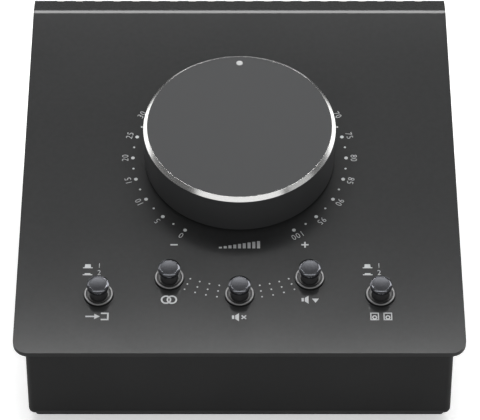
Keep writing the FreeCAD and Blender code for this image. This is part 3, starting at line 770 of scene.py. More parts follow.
def fold_cover(sizes):
    """The panel, the strip behind it and the apron, from one sheet."""
    low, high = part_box("top_cover")
    width = high.x - low.x
    front = panel_reach("top_cover")[0].y
    cover = begin("cover", bpy.ops.mesh.primitive_plane_add, size=width,
                  location=DIAL + UP_SLOPE * (front + width / 2), rotation=(SLOPE, 0, 0))
    bend = DIAL + UP_SLOPE * sizes.bend_place
    apron_y, apron_z = high.y, bend.z - sizes.strip * math.sin(sizes.strip_drop)
    apron_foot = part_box("rear_panel")[1].z - sizes.apron_overlap
    with editing(cover):
        pick("EDGE", lambda points: all(point.y > DIAL.y for point in points))
        bpy.ops.transform.translate(value=UP_SLOPE * (sizes.bend_place - front - width))
        draw_out((0, apron_y - bend.y, apron_z - bend.z))
        draw_out((0, 0, apron_foot - apron_z))
        for y, radius, turn in ((bend.y, sizes.bend_radius, SLOPE + sizes.strip_drop),
                                (apron_y, sizes.apron_radius, math.radians(90) - sizes.strip_drop)):
            pick("EDGE", lambda points: lie_at(points, Y, y) and corners(points)[0].z > apron_z - NEAR)
            bpy.ops.mesh.bevel(offset=radius * math.tan(turn / 2), segments=8)
        mesh = bmesh.from_edit_mesh(cover.data)
        front_y = corners([vertex.co for vertex in mesh.verts])[0].y
        pick("VERT", lambda points: lie_at(points, Y, front_y))
        bpy.ops.mesh.bevel(offset=sizes.corner, segments=10, affect="VERTICES")
        face_outwards()
        mesh = bmesh.from_edit_mesh(cover.data)
        if sum(face.normal.z * face.calc_area() for face in mesh.faces) < 0:
            bpy.ops.mesh.flip_normals()
    thicken(cover, sizes.sheet)
    cut(cover, vent_cutter(sizes, apron_y, apron_z))
    tube = bpy.context.scene.controller_buttons.tube + sizes.hole_gap
    bushing = panel_reach("pot_washer")[1].x - sizes.washer_ring
    passing = [(tube, button_place(name)) for name in BUTTONS] + [(bushing, PANEL)]
    cut(cover, joined([rod(radius, -2 * sizes.sheet, sizes.sheet, place) for radius, place in passing]))
    soften(cover, sizes.edge)

    # painted shade: the cover's cut edges that face forwards or sideways get the darker case paint
    def cut_edge(points, normal, steep=0.6, sideways=0.7):
        return abs(normal.dot(OUT)) < steep and points[0].y < DIAL.y or abs(normal.x) > sideways

    recoat(cover, "cover_paint", case_paint=cut_edge)
    settle(cover)
    return cover


def slit(point, across, **settings):
    """In edit mode, cut the selected faces along a plane."""
    bpy.ops.mesh.bisect(plane_co=point, plane_no=across, **settings)


def fold_case(sizes):
    """The front and side walls, with the flanges folded from them underneath and behind."""
    low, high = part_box("case_shell")
    walls = block("case_walls", low, high)
    strip_out = Vector((0, math.sin(sizes.strip_drop), math.cos(sizes.strip_drop)))
    flange = high.x - sizes.case_flange
    front_flange = low.y + sizes.case_flange

    def folded(points):
        if lie_at(points, Z, low.z):
            return not lie_at(points, Y, high.y)
        return lie_at(points, Y, low.y) and not lie_at(points, Z, points[0].z)

    def under_or_behind(points, normal):
        return normal.y > FACING or normal.z < -FACING

    def open_middle(points, normal):
        first, last = corners(points)
        within = max(-first.x, last.x) < flange + NEAR
        return within and first.y > front_flange - NEAR and under_or_behind(points, normal)

    with editing(walls):
        pick("EDGE", folded)
        bpy.ops.mesh.bevel(offset=sizes.case_bend, segments=6)
        for place, way in ((DIAL, OUT), (DIAL + UP_SLOPE * sizes.bend_place, strip_out)):
            take_all()
            slit(place - way * sizes.sheet, way, clear_outer=True)
        for side in (-1, 1):
            pick("FACE", under_or_behind)
            slit((side * flange, 0, 0), (1, 0, 0))
        pick("FACE", lambda points, normal: normal.z < -FACING)
        slit((0, front_flange, 0), (0, 1, 0))
        pick("FACE", open_middle)
        bpy.ops.mesh.delete(type="FACE")
        take_all()
        bpy.ops.mesh.remove_doubles(threshold=NEAR)
    thicken(walls, sizes.case_sheet)
    soften(walls, sizes.case_edge)
    settle(walls)
    return walls


def fold_rear(sizes):
    """The rear panel with the tongue that it stands on, and its holes for the sockets."""
    low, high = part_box("rear_panel")
    front = high.y - sizes.rear_sheet
    upright = block("rear_plate", (low.x, front, low.z), high)
    half = high.x - sizes.case_flange - sizes.tongue_gap

    def at_front(points, normal):
        return normal.y < -FACING

    def at_tongue(points, normal):
        first, last = corners(points)
        under = last.z < low.z + sizes.rear_sheet + NEAR
        return at_front(points, normal) and under and max(-first.x, last.x) < half + NEAR

    with editing(upright):
        pick("FACE", at_front)
        slit((0, front, low.z + sizes.rear_sheet), (0, 0, 1))
        for side in (-1, 1):
            pick("FACE", at_front)
            slit((side * half, front, 0), (1, 0, 0))
        pick("FACE", at_tongue)
        draw_out((0, low.y - front, 0), bpy.ops.mesh.extrude_region_move)
    thread = bpy.context.scene.controller_sockets.thread + sizes.hole_gap
    middles = [sum(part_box("jack_%s_%d" % jack), Vector()) / 2 for jack in JACKS]
    cut(upright, joined([rod(thread, -2 * sizes.rear_sheet, 2 * sizes.rear_sheet, facing_back(middle, front))
                         for middle in middles]))
    soften(upright, sizes.rear_edge)
    settle(upright)
    return upright


def flat_sheet(name, low, high, corner, edge):
    """A plate with rounded corners, seen from above or from behind."""
    plate = block(name, low, high)
    thin = min((X, Y, Z), key=lambda axis: high[axis] - low[axis])
    with editing(plate):
        pick("EDGE", lambda points: abs(points[0][thin] - points[1][thin]) > NEAR)
        bpy.ops.mesh.bevel(offset=corner, segments=4)
    soften(plate, edge)
    settle(plate)
    return plate


def pan_screw(sizes, shaft):
    """A cross-recess pan head screw about Z, with its shaft down and its seat at the origin."""
    crown = sizes.head_height / 2
    outline = [(sizes.head_radius * CORE, sizes.head_height)]
    outline += rounded((sizes.head_radius - crown, crown), 90, 0, crown, steps=6)
    outline += [(sizes.head_radius, 0), (sizes.screw_radius, 0), (sizes.screw_radius, -shaft)]
    screw = turned("screw", outline, segments=40)
    half, width = sizes.recess_length / 2, sizes.recess_width / 2
    for x, y in ((half, width), (width, half)):
        cut(screw, block("recess", (-x, -y, sizes.head_height - sizes.recess_depth),
                         (x, y, sizes.head_height + sizes.recess_depth)))
    soften(screw, sizes.head_edge)
    return screw


def screw_seat(node, low, high, sizes):
    """Where a screw's head sits and which way it looks, from the box of its solid."""
    seat = (low + high) / 2
    turn = OUTWARDS_BACK
    if node == "side_screws":
        side = math.copysign(1, seat.x)
        seat.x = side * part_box("case_shell")[1].x
        turn = Matrix.Rotation(SLOPE, 4, "X") @ Matrix.Rotation(side * math.radians(90), 4, "Y")
    elif node == "base_screws":
        seat.z = low.z + sizes.head_height
        turn = Matrix.Rotation(math.radians(180), 4, "X")
    else:
        seat.y = high.y - sizes.head_height
    return Matrix.Translation(seat) @ turn


def mould_foot(low, high, sizes):
    """A rubber foot about Z, with a well for its fastener."""
    radius, height = (high.x - low.x) / 2, high.z - low.z
    well, mouth = 0.42 * radius, 0.47 * radius
    depth = chamfer = height / 4
    foot = turned("foot", [(CORE * radius, depth), (well, depth), (mouth, 0), (radius - chamfer, 0),
                           (radius, chamfer), (radius, height)], segments=56)
    soften(foot, sizes.foot_edge)
    return foot


# The knob and the buttons
def turn_knob(sizes):
    """The knob: a hollow skirt with a hub inside, a bright chamfer and the pointer's dimple."""
    low, high = panel_reach("volume_knob")
    radius, top, foot = high.x, high.z, low.z
    skirt = radius - sizes.step
    under = top - sizes.top_wall
    rim_low = top - sizes.chamfer - sizes.rim
    outline = [(radius - sizes.chamfer, top), (radius, top - sizes.chamfer), (radius, rim_low),
               (skirt, rim_low - sizes.step), (skirt, foot), (skirt - sizes.wall, foot),
               (skirt - sizes.wall, under), (sizes.hub_radius, under), (sizes.hub_radius, sizes.hub_low),
               (sizes.bore_radius, sizes.hub_low), (sizes.bore_radius, sizes.bore_top)]
    knob = turned("knob", outline, segments=192)
    key_height = sum(panel_reach("knob_set_screw"), Vector()).z / 2
    cut(knob, rod(sizes.access_radius, skirt - 1.5 * sizes.wall, radius + sizes.wall,
                  Matrix.Translation((0, 0, key_height)) @ OUTWARDS_BACK))
    low, high = panel_reach("pointer_dot")
    cut(knob, rod(high.x, top - sizes.dimple_depth, top + sizes.dimple_depth,
                  Matrix.Translation((0, (low.y + high.y) / 2, 0))))

    def chamfered(points, normal, least=0.5, most=0.9):
        return least < normal.z < most and max(point.xy.length for point in points) > skirt

    recoat(knob, "knob_metal", cut_metal=chamfered)
    soften(knob, sizes.edge, segments=1)
    settle(knob, PANEL)
    return knob


# The paint's surface in the dimple: shares of its radius, with how far each lies below the top in mm
PAINT_SURFACE = ((0.35, 0.02), (0.7, 0.03), (0.92, 0.06), (0.995, 0.12))


def fill_pointer(sizes):
    """The paint that fills the knob's dimple, with its surface drawn down at the edge."""
    low, high = panel_reach("pointer_dot")
    outline = [(high.x * share, high.z - drop * MM) for share, drop in PAINT_SURFACE]
    pointer = turned("pointer", outline + [(outline[-1][0], low.z)], segments=40)
    soften(pointer, sizes.edge / 2, segments=1)
    settle(pointer, PANEL @ Matrix.Translation((0, (low.y + high.y) / 2, 0)))
    return pointer


DISH_RINGS = (0.15, 0.3, 0.45, 0.6, 0.75, 0.88, 1.0)     # shares of the radius of a cap's dished top


def turn_cap(sizes):
    """A button cap about its own axis, with a slightly dished top."""
    low, high = panel_reach("mute_cap")
    top, foot = high.z, low.z
    flat = sizes.cap_radius - sizes.cap_rim
    edge_top = top - sizes.cap_drop
    outline = [(flat * share, top - sizes.cap_dish * (1 - share * share)) for share in DISH_RINGS]
    outline += [(sizes.cap_radius, edge_top), (sizes.cap_radius, edge_top - sizes.cap_edge),
                (sizes.stem_radius, foot), (sizes.spigot_radius, foot),
                (sizes.spigot_radius, foot + sizes.spigot_height)]
    cap = turned("cap", outline, segments=72)

    def on_top(points, normal, nearly_up=0.97):
        return corners(points)[0].z > edge_top + NEAR and normal.z > nearly_up

    # painted shade: the upward top faces get a darker copy of the cap's plating
    recoat(cap, "cap_chrome", cap_face=on_top)
    soften(cap, sizes.cap_rounding, angle=15)
    return cap


def turn_bezel(sizes):
    """A button's bezel about its own axis: a lip, a groove, a collar and a tube through the panel."""
    low, high = panel_reach("mute_bezel")
    foot, top = low.z, high.z
    radius = (high.x - low.x) / 2
    groove, collar = top - sizes.groove, top - sizes.collar_drop
    bead = sizes.lip_rounding
    outline = [(sizes.bezel_bore, collar), (sizes.collar, collar), (sizes.collar, groove),
               (sizes.lip, groove)]
    outline += rounded((sizes.lip + bead, top - bead), 180, 90, bead)
    outline += rounded((sizes.bezel_top - bead, top - bead), 90, 0, bead)
    outline += [(radius, 0), (sizes.tube, 0), (sizes.tube, foot), (sizes.bezel_bore, foot), outline[0]]
    bezel = turned("bezel", outline, segments=72, capped=False)

    def on_lip(points, normal):
        return corners(points)[0].z > collar + NEAR and normal.z > RISING

    def on_collar(points, normal):
        return lie_at(points, Z, collar) and normal.z > RISING

    # painted light and shade: the upward faces of the lip and the collar get lighter copies of the metal, and the
    # rest stays darker
    recoat(bezel, "bezel_metal", bezel_ring=on_lip, bezel_collar=on_collar)
    soften(bezel, sizes.bezel_rounding)
    return bezel


def wind_spring(sizes, step=15, smooth=60):
    """A button's return spring about its own axis: one wire that goes round and up. Angles in degrees."""
    low, high = panel_reach("mute_spring")
    wire = sizes.spring_wire
    coil = (high.x - low.x) / 2 - wire
    spring = circle("spring", 10, wire, (coil, 0, low.z + wire), rotation=(math.radians(90), 0, 0))
    steps = round(sizes.spring_turn / math.radians(step))
    shape_with(spring, "SCREW", angle=sizes.spring_turn, screw_offset=high.z - low.z - 2 * wire,
               steps=steps, render_steps=steps)
    with editing(spring):
        bpy.ops.mesh.select_mode(type="EDGE")
        bpy.ops.mesh.select_all(action="DESELECT")
        bpy.ops.mesh.select_non_manifold()
        bpy.ops.mesh.fill_holes(sides=0)
        face_outwards()
    bpy.ops.object.shade_smooth_by_angle(angle=math.radians(smooth))
    return spring


# What is printed
def dot(middle, radius, segments=16):
    """A dot of ink on the plane z = 0."""
    return circle("dot", segments, radius, (*middle, 0), fill_type="NGON")


def shape(*points):
    """A flat patch of ink with these corners, from a primitive with as many."""
    patch = circle("patch", len(points), 1, fill_type="NGON")
    for vertex, (x, y) in zip(patch.data.vertices, points):
        vertex.co = (x, y, 0)
    return patch


def bar(middle, width, height):
    x, y, half, rise = *middle, width / 2, height / 2
    return shape((x - half, y - rise), (x + half, y - rise), (x + half, y + rise), (x - half, y + rise))


def stroke(start, end, width):
    """A straight line of ink."""
    side = (end - start).normalized().orthogonal() * (width / 2)
    return shape(start - side, end - side, end + side, start + side)


def hoop(middle, radius, width, segments=32):
    """A ring of ink."""
    inner, outer = radius - width / 2, radius + width / 2
    ring = circle("hoop", segments, inner, (*middle, 0))
    with editing(ring):
        draw_out((0, 0, 0))
        bpy.ops.transform.resize(value=(outer / inner, outer / inner, 1), center_override=(*middle, 0))
    return ring


def number(middle, height, value, turn=0.0, digit_share=0.73):
    """A plain number with its middle at a place, turned about that place. The typeface's digits fill
    a share of its size."""
    sizes = bpy.context.scene.controller_print
    bpy.ops.object.select_all(action="DESELECT")
    bpy.ops.object.text_add()
    letters = bpy.context.object.data
    letters.body = str(value)
    letters.align_x = letters.align_y = "CENTER"
    letters.size = height / digit_share
    letters.resolution_u = 3
    letters.offset = -sizes.number_thinning
    letters.space_character = sizes.number_spacing
    bpy.ops.object.convert(target="MESH")
    narrow = Matrix.Diagonal((sizes.number_width, 1, 1, 1))
    turned_there = Matrix.Translation((*middle, 0)) @ Matrix.Rotation(turn, 4, "Z")
    bpy.context.object.matrix_world = turned_there @ narrow
    bpy.ops.object.transform_apply(location=True, rotation=True, scale=True)
    return bpy.context.object


def print_on(name, parts, ink, place):
    """Join flat parts, give them the ink's thickness and carry them to a panel."""
    layer = joined(parts)
    rename(layer, name)
    with editing(layer):
        bpy.ops.mesh.remove_doubles(threshold=NEAR)
        for face in bmesh.from_edit_mesh(layer.data).faces:
            face.normal_update()
            if face.normal.z < 0:
                face.normal_flip()
        bmesh.update_edit_mesh(layer.data)
        draw_out((0, 0, ink), bpy.ops.mesh.extrude_region_move)
    settle(layer, place)
    return layer


def dial_parts(sizes):
    """Dots round the dial with a number at every second one."""
    large = sizes.number_top // sizes.number_step
    first, last = [math.radians(angle) for angle in HINGE["range_deg"]]
    dots, numbers = [], []
    for i in range(2 * large + 1):
        angle = first + (last - first) / (2 * large) * i
        away = Vector((math.sin(angle), math.cos(angle)))
        dots.append(dot(away * sizes.dot_circle, sizes.small_dot if i % 2 else sizes.large_dot))
        if i % 2 == 0:
            numbers.append(number(away * sizes.number_circle, sizes.number_height,
                                  sizes.number_step * i // 2, -angle))
    return dots, numbers


def arc_parts(sizes, columns=4, rows=3):
    """The rows of dots between the buttons."""
    dots = []
    for side, column, row in itertools.product((-1, 1), range(columns), range(rows)):
        angle = side * (sizes.arc_start + column * sizes.arc_step)
        radius = sizes.arc_first + row * sizes.arc_row
        drop = sizes.arc_middle + radius * math.cos(angle)
        dots.append(dot((radius * math.sin(angle), -drop), sizes.arc_dot, 12))
    return dots


def drawn(place, *rows):
    """Parts of a symbol from rows of a maker, its points from a place, and its lengths, all in mm."""
    return [maker(*[place.xy + Vector(value) * MM if isinstance(value, tuple) else value * MM
                    for value in values]) for maker, *values in rows]


def speaker(x, y, size):
    """A loudspeaker seen from the side, as rows of a symbol: its magnet and its cone."""
    back, front, neck, mouth = x - 0.36 * size, x + 0.1 * size, 0.26 * size, 0.62 * size
    return ((bar, (x - 0.62 * size, y), 0.28 * size, 0.52 * size),
            (shape, (back, y - neck), (front, y - mouth), (front, y + mouth), (back, y + neck)))


def push_rows(x, y, digit_x=3.0, digit_y=0.62, digit=1.7, width=2.5, line=0.3):
    """A button that stands out with the number 1, over one that is pushed in with the number 2."""
    rows = []
    for value, foot, height in ((1, y + 2.3, 1.15), (2, y, 0.5)):
        low, high, top = 0.34 * width, 0.28 * width, foot + height
        rows += [(bar, (x, foot), width, line),
                 (shape, (x - low, foot), (x + low, foot), (x + high, top), (x - high, top)),
                 (functools.partial(number, value=value), (x + digit_x, foot + digit_y), digit)]
    return rows


def frame_rows(x, y, width, height, line):
    """The outline of a box about a place."""
    side, rise = (width - line) / 2, (height - line) / 2
    return [(bar, (x - side, y), line, height), (bar, (x + side, y), line, height),
            (bar, (x, y + rise), width, line), (bar, (x, y - rise), width, line)]


def symbol_parts(sizes, label=-29.8, below=-6.9, dial_end=17.2, sign=1.9):
    """The symbols at the dial and at each button. Places in mm."""
    line = sizes.stroke / MM
    source, mono, mute, dim, monitor = [button_axis(name) for name in BUTTONS]
    bars = [0.5 + 0.24 * i for i in range(9)]            # a ramp of bars: louder to the right
    parts = drawn(Vector(), *[(bar, ((i - 4) * 1.25, label - 1.2 + height / 2), 0.8, height)
                              for i, height in enumerate(bars)])
    parts += drawn(Vector(), (bar, (-dial_end, label), sign, line), (bar, (dial_end, label), sign, line),
                   (bar, (dial_end, label), line, sign))                       # minus and plus
    parts += drawn(mono, (hoop, (-0.75, below), 1.15, line), (hoop, (0.75, below), 1.15, line))
    parts += drawn(dim, *speaker(-0.6, below, 2.1),                            # quieter
                   (shape, (0.5, below + 0.35), (2.3, below + 0.35), (1.4, below - 0.95)))
    mute_y = below - 0.25
    parts += drawn(mute, *speaker(-0.35, mute_y, 2.1),                         # silent
                   *[(stroke, (0.55, mute_y - rise), (1.7, mute_y + rise), 0.34) for rise in (-0.55, 0.55)])
    parts += drawn(source, (stroke, (-3.2, below), (-0.6, below), line),       # what comes in
                   (shape, (-0.9, below - 0.85), (0.5, below), (-0.9, below + 0.85)),
                   (bar, (2.6, below), line, 2.4), (bar, (1.8, below + 1.0), 2.0, line),
                   (bar, (1.8, below - 1.0), 2.0, line))
    cone = functools.partial(hoop, segments=20)
    for x in (-1.7, 1.7):                                # a pair of cabinets: what goes out
        parts += drawn(monitor, (cone, (x, below - 0.3), 0.5, 0.28), *frame_rows(x, below, 2.24, 2.4, 0.28))
    for place in (source, monitor):
        parts += drawn(place, *push_rows(-3.1, 6.65))
    return parts


# The sockets
def socket_body(sizes, overlap=1 * MM):
    """A jack socket about its bore, with its mouth at the origin and its nose along +Z."""
    low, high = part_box("jack_lower_1")
    nose = high.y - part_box("rear_panel")[1].y
    seat = -(nose + bpy.context.scene.controller_cover.rear_sheet)
    half = (high.x - low.x) / 2
    pitch, depth = sizes.thread_pitch, sizes.thread_depth
    outline = [(sizes.thread - 2 * depth, 0)]
    for i in range(int(nose / pitch)):
        top = -depth - i * pitch
        outline += [(sizes.thread, top), (sizes.thread, top - 0.2 * pitch),
                    (sizes.thread - depth, top - 0.6 * pitch)]
    outline += [(sizes.thread, -nose), (sizes.thread, seat - overlap)]
    socket = turned("socket", outline)
    cut(socket, block("housing", (-half, -half, low.y - high.y), (half, half, seat)), "UNION")
    mouth = sizes.bore + sizes.mouth
    cut(socket, turned("bore", [(mouth + overlap, overlap), (mouth, 0), (sizes.bore, -sizes.mouth),
                                (sizes.bore, -sizes.bore_length)]))
    soften(socket, sizes.socket_edge, segments=1)
    return socket


def socket_nut(sizes):
    """A hexagonal nut about Z with chamfered corners, its seat at the origin."""
    low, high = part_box("jack_nuts")
    height = high.y - low.y
    flat, tilt = sizes.nut_key / 2, math.radians(30)
    corner, face = flat / math.cos(tilt), flat - sizes.nut_face
    nut = begin("nut", bpy.ops.mesh.primitive_cylinder_add, vertices=6, radius=corner, depth=height,
                location=(0, 0, height / 2), rotation=(0, 0, tilt))
    chamfer = sizes.nut_chamfer
    cut(nut, turned("rounding", [(face, height), (corner, height - chamfer), (corner, chamfer), (face, 0)],
                    segments=96), "INTERSECT")
    cut(nut, rod(sizes.thread + sizes.nut_gap, -height, 2 * height, segments=64))
    soften(nut, sizes.nut_edge)
    return nut


# Operators
class CONTROLLER_OT_cover(bpy.types.Operator):
    """Fold the cover with its sloping panel and its vents"""

    bl_idname = "controller.cover"
    bl_label = "Cover"
    bl_options = {"REGISTER", "UNDO"}

    def execute(self, context):
        dress(fold_cover(context.scene.controller_cover), "case", "cover_paint", "top_cover")
        return {"FINISHED"}


class CONTROLLER_OT_case(bpy.types.Operator):
    """Fold the case and cut its base plate and rear panel"""

    bl_idname = "controller.case"
    bl_label = "Case, base and rear"
    bl_options = {"REGISTER", "UNDO"}

    def execute(self, context):
        sizes = context.scene.controller_cover
        dress(fold_case(sizes), "case", "case_paint", "case_shell")
        plate = flat_sheet("bottom_plate", *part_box("base_plate"), sizes.plate_corner, sizes.case_edge)
        dress(plate, "case", "plate_paint", "base_plate")
        dress(fold_rear(sizes), "case", "case_paint", "rear_panel")
        return {"FINISHED"}


class CONTROLLER_OT_feet(bpy.types.Operator):
    """Mould the four rubber feet"""

    bl_idname = "controller.feet"
    bl_label = "Rubber feet"
    bl_options = {"REGISTER", "UNDO"}

    def execute(self, context):
        boxes = islands("rubber_feet")
        middles = [(low + high) / 2 for low, high in boxes]
        dress_row(mould_foot(*boxes[0], context.scene.controller_cover), "foot",
                  [Matrix.Translation((middle.x, middle.y, 0)) for middle in middles],
                  "foot_rubber", "rubber_feet")
        return {"FINISHED"}


class CONTROLLER_OT_screws(bpy.types.Operator):
    """Drive the screws into the sides, the base and the rear"""

    bl_idname = "controller.screws"
    bl_label = "Screws"
    bl_options = {"REGISTER", "UNDO"}

    def execute(self, context):
        sizes = context.scene.controller_cover
        for node in ("side_screws", "base_screws", "rear_screws"):
            boxes = islands(node)
            shaft = max(boxes[0][1] - boxes[0][0]) - sizes.head_height
            places = [screw_seat(node, low, high, sizes) for low, high in boxes]
            dress_row(pan_screw(sizes, shaft), node[:-1], places, "black_steel", node)
        return {"FINISHED"}


class CONTROLLER_OT_knob(bpy.types.Operator):
    """Turn the volume knob and fill its pointer"""

    bl_idname = "controller.knob"
    bl_label = "Volume knob"
    bl_options = {"REGISTER", "UNDO"}

    def execute(self, context):
        sizes = context.scene.controller_knob
        dress(turn_knob(sizes), "knob", "knob_metal", "volume_knob")
        dress(fill_pointer(sizes), "knob", "pointer_white", "pointer_dot")
        return {"FINISHED"}


class CONTROLLER_OT_buttons(bpy.types.Operator):
    """Turn the five button caps and their bezels"""

    bl_idname = "controller.buttons"
    bl_label = "Buttons and bezels"
    bl_options = {"REGISTER", "UNDO"}

    def execute(self, context):
        sizes = context.scene.controller_buttons
        patterns = (("cap", turn_cap(sizes), "cap_chrome"), ("bezel", turn_bezel(sizes), "bezel_metal"))
        for button in BUTTONS:
            for kind, pattern, slot in patterns:
                piece = copied(pattern, "%s_button_%s" % (button, kind), button_place(button))
                body = button + "_button" if kind == "cap" else "case"
                dress(piece, body, slot, "%s_%s" % (button, kind))
        for kind, pattern, slot in patterns:
            bpy.data.objects.remove(pattern)
        return {"FINISHED"}


class CONTROLLER_OT_springs(bpy.types.Operator):
    """Wind the five return springs, each with a mesh of its own"""

    bl_idname = "controller.springs"
    bl_label = "Return springs"
    bl_options = {"REGISTER", "UNDO"}

    def execute(self, context):
        spring = wind_spring(context.scene.controller_buttons)
        low, high = panel_reach("mute_spring")
        for button in BUTTONS:
            place = button_place(button)
            copy = copied(spring, button + "_button_spring", place)
            dress(copy, "case", "spring_steel", button + "_spring")
            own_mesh(copy)
        bpy.data.objects.remove(spring)
        return {"FINISHED"}


class CONTROLLER_OT_print(bpy.types.Operator):
    """Print the dial's numbers and dots, and the symbols at the buttons"""

    bl_idname = "controller.print"
    bl_label = "Printed dial and symbols"
    bl_options = {"REGISTER", "UNDO"}

    def execute(self, context):
        sizes = context.scene.controller_print
        dots, numbers = dial_parts(sizes)
        for name, parts in (("dial_dots", dots), ("dial_numbers", numbers), ("button_dots", arc_parts(sizes)),
                            ("symbols", symbol_parts(sizes))):
            dress(print_on(name, parts, sizes.ink, PANEL), "case", "cover_paint", finish="panel_ink")
        return {"FINISHED"}


class CONTROLLER_OT_sockets(bpy.types.Operator):
    """Turn the eight jack sockets and their nuts, and number them"""

    bl_idname = "controller.sockets"
    bl_label = "Jack sockets and nuts"
    bl_options = {"REGISTER", "UNDO"}

    def execute(self, context):
        sizes, printed = context.scene.controller_sockets, context.scene.controller_print
        socket, nut = socket_body(sizes), socket_nut(sizes)
        rear_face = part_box("rear_panel")[1].y
        numbers = []
        for row, column in JACKS:
            jack = "%s_%d" % (row, column)
            low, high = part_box("jack_" + jack)
            middle = (low + high) / 2
            dress(copied(socket, "socket_" + jack, facing_back(middle, high.y)), "case", "black_plastic",
                  "jack_" + jack)
            dress(copied(nut, "nut_" + jack, facing_back(middle, rear_face)), "case", "zinc_steel",
                  "jack_nuts")
            below = middle.z - sizes.nut_key / 2 - printed.rear_gap
            value = (5 if row == "upper" else 9) - column
            numbers.append(number((-middle.x, below), printed.rear_height, value))
        for pattern in (socket, nut):
            bpy.data.objects.remove(pattern)
        turn = Euler((math.radians(90), 0, math.radians(180))).to_matrix().to_4x4()
        rear = Matrix.Translation((0, rear_face, 0)) @ turn
        dress(print_on("socket_numbers", numbers, printed.ink, rear), "case", "case_paint",
              finish="panel_ink")
        return {"FINISHED"}


class CONTROLLER_OT_inside(bpy.types.Operator):
    """Give every solid node that still shows the finish that the record names"""

    bl_idname = "controller.inside"
    bl_label = "Finishes of the inner parts"
    bl_options = {"REGISTER", "UNDO"}

    def execute(self, context):
        slots = {part["node"]: part["material_slot"] for part in frame["record"]["subparts"]}
        for name, node in frame["nodes"].items():
            if not node.hide_render:
                node.data.materials.clear()
                # painted light: the plungers' stems get a lighter copy of their black plastic, where they stand in
                # shade under the caps
                finish = "stem_plastic" if name.endswith("_plunger") else slots[name]
                node.data.materials.append(material(finish))
        return {"FINISHED"}


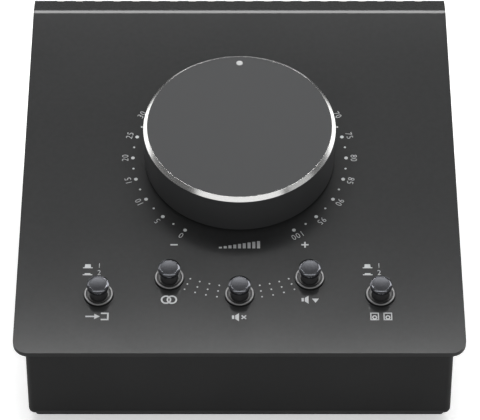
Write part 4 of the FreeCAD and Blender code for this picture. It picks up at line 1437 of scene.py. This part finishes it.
class CONTROLLER_OT_studio(bpy.types.Operator):
    """Set up the floor with its pale backdrop, the lamps and the camera"""

    bl_idname = "controller.studio"
    bl_label = "Studio"
    bl_options = {"REGISTER", "UNDO"}

    def execute(self, context):
        studio = context.scene.controller_studio
        self.floor(studio)
        self.lamps(studio)
        context.scene.world = self.world(studio)
        context.scene.camera = self.camera(studio)
        context.scene.view_settings.view_transform = "Standard"
        return {"FINISHED"}

    def floor(self, studio, sweep=0.9):
        """The floor, swept up into a pale backdrop on every side over a share of its height."""
        floor = begin("floor", bpy.ops.mesh.primitive_plane_add, size=studio.floor_width)
        with editing(floor):
            pick("EDGE", lambda points: True)
            draw_out((0, 0, studio.backdrop))
            pick("EDGE", lambda points: lie_at(points, Z, 0))
            bpy.ops.mesh.bevel(offset=studio.backdrop * sweep, segments=24)
        finish = Finish("floor_white", Roughness=0.35, Specular_IOR_Level=0.5)
        patches = finish.handling(finish.place(), 400 * MM)
        finish.colour(patches, *shades(studio.floor_colour, 0.01))
        path = finish.add("LightPath", {})
        mirrored = finish.math("MAXIMUM", path["Is Glossy Ray"], path["Is Transmission Ray"])
        seen = finish.math("MAXIMUM", path["Is Camera Ray"], mirrored)
        strength = finish.math("MULTIPLY", seen, studio.floor_glow)
        glow = finish.add("Emission", {"Color": (1, 1, 1, 1), "Strength": strength})
        both = finish.add("AddShader", {0: finish.shader.outputs[0], 1: glow[0]})
        finish.feed(finish.tree.nodes["Material Output"].inputs["Surface"], both[0])
        floor.data.materials.append(finish.material)

    def world(self, studio):
        world = bpy.data.worlds.new("studio")
        world.use_nodes = True
        light = world.node_tree.nodes["Background"]
        light.inputs["Color"].default_value = (1, 1, 1, 1)
        light.inputs["Strength"].default_value = studio.world_level
        return world

    def card(self, name, level, width, height, distance, around, above):
        """A plain lit card that faces the dial. Level is its brightness, where 1 is white, and its
        place is turned round from the front to the right, and raised above the dial's level."""
        place = DIAL + Euler((-above, 0, math.radians(around))).to_matrix() @ Vector((0, -distance, 0))
        bpy.ops.object.light_add(type="AREA", location=place)
        lamp = bpy.context.object
        lamp.name = name
        lamp.data.shape = "RECTANGLE"
        lamp.data.size, lamp.data.size_y = width, height
        lamp.data.energy = level * math.pi * width * height
        lamp.rotation_euler = (place - DIAL).to_track_quat("Z", "Y").to_euler()

    def lamps(self, studio):
        """The cards: brightness, width, height, distance, degrees round from the front, and angle up."""
        for name, *values in (
                ("key", studio.key_level, 1.2, 0.23, 1.2, 180, studio.key_angle),
                ("back", studio.back_level, 0.3, 0.17, 0.6, 180, studio.back_angle),
                ("front", studio.front_level, 1.7, 0.5, 1.1, 0, math.radians(30)),
                ("top", studio.top_level, 1.3, 0.16, 1.2, 0, math.radians(69)),
                ("rim_right", studio.rim_level, 0.55, 0.42, 1.2, 131, math.radians(45)),
                ("rim_left", 0.4 * studio.rim_level, 0.6, 0.35, 1.2, -132, math.radians(42)),
                ("fill", studio.fill_level, 0.5, 0.2, 1.1, 62, math.radians(23)),
                ("left", studio.side_level, 0.93, 0.34, 1.0, -125, math.radians(7.5)),
                ("right", studio.side_level, 0.93, 0.34, 1.0, 125, math.radians(7.5))):
            self.card(name, *values)

    def camera(self, studio):
        place = DIAL + Vector((studio.camera_side, -studio.camera_back, studio.camera_up))
        bpy.ops.object.camera_add(location=place, rotation=(math.radians(90) - studio.camera_tilt, 0, 0))
        camera = bpy.context.object
        camera.data.lens = studio.camera_lens
        camera.data.sensor_width = 36
        camera.data.clip_start = 0.01
        return camera


class CONTROLLER_PT_panel(bpy.types.Panel):
    """The pieces in their order, and the sizes and colours behind them"""

    bl_idname = "CONTROLLER_PT_panel"
    bl_label = "Monitor controller"
    bl_space_type = "VIEW_3D"
    bl_region_type = "UI"
    bl_category = "Controller"

    def draw(self, context):
        for operator in OPERATORS:
            self.layout.operator(operator.bl_idname)
        for group, name in GROUPS.items():
            box = self.layout.box()
            box.label(text=group.__doc__)
            for identifier in group.__annotations__:
                box.prop(getattr(context.scene, name), identifier)


GROUPS = {CoverSizes: "controller_cover", KnobSizes: "controller_knob", ButtonSizes: "controller_buttons",
          PrintSizes: "controller_print", SocketSizes: "controller_sockets", Colours: "controller_colours",
          StudioSettings: "controller_studio"}
OPERATORS = (CONTROLLER_OT_cover, CONTROLLER_OT_case, CONTROLLER_OT_feet, CONTROLLER_OT_screws,
             CONTROLLER_OT_knob, CONTROLLER_OT_buttons, CONTROLLER_OT_springs, CONTROLLER_OT_print,
             CONTROLLER_OT_sockets, CONTROLLER_OT_inside, CONTROLLER_OT_studio)


def register():
    for group, name in GROUPS.items():
        bpy.utils.register_class(group)
        setattr(bpy.types.Scene, name, bpy.props.PointerProperty(type=group))
    for operator in (*OPERATORS, CONTROLLER_PT_panel):
        bpy.utils.register_class(operator)


def unregister():
    for operator in (CONTROLLER_PT_panel, *reversed(OPERATORS)):
        bpy.utils.unregister_class(operator)
    for group, name in reversed(GROUPS.items()):
        delattr(bpy.types.Scene, name)
        bpy.utils.unregister_class(group)


def main():
    register()
    for operator in OPERATORS:
        getattr(bpy.ops.controller, operator.bl_idname.partition(".")[2])()
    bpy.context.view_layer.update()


if __name__ == "__main__":
    main()
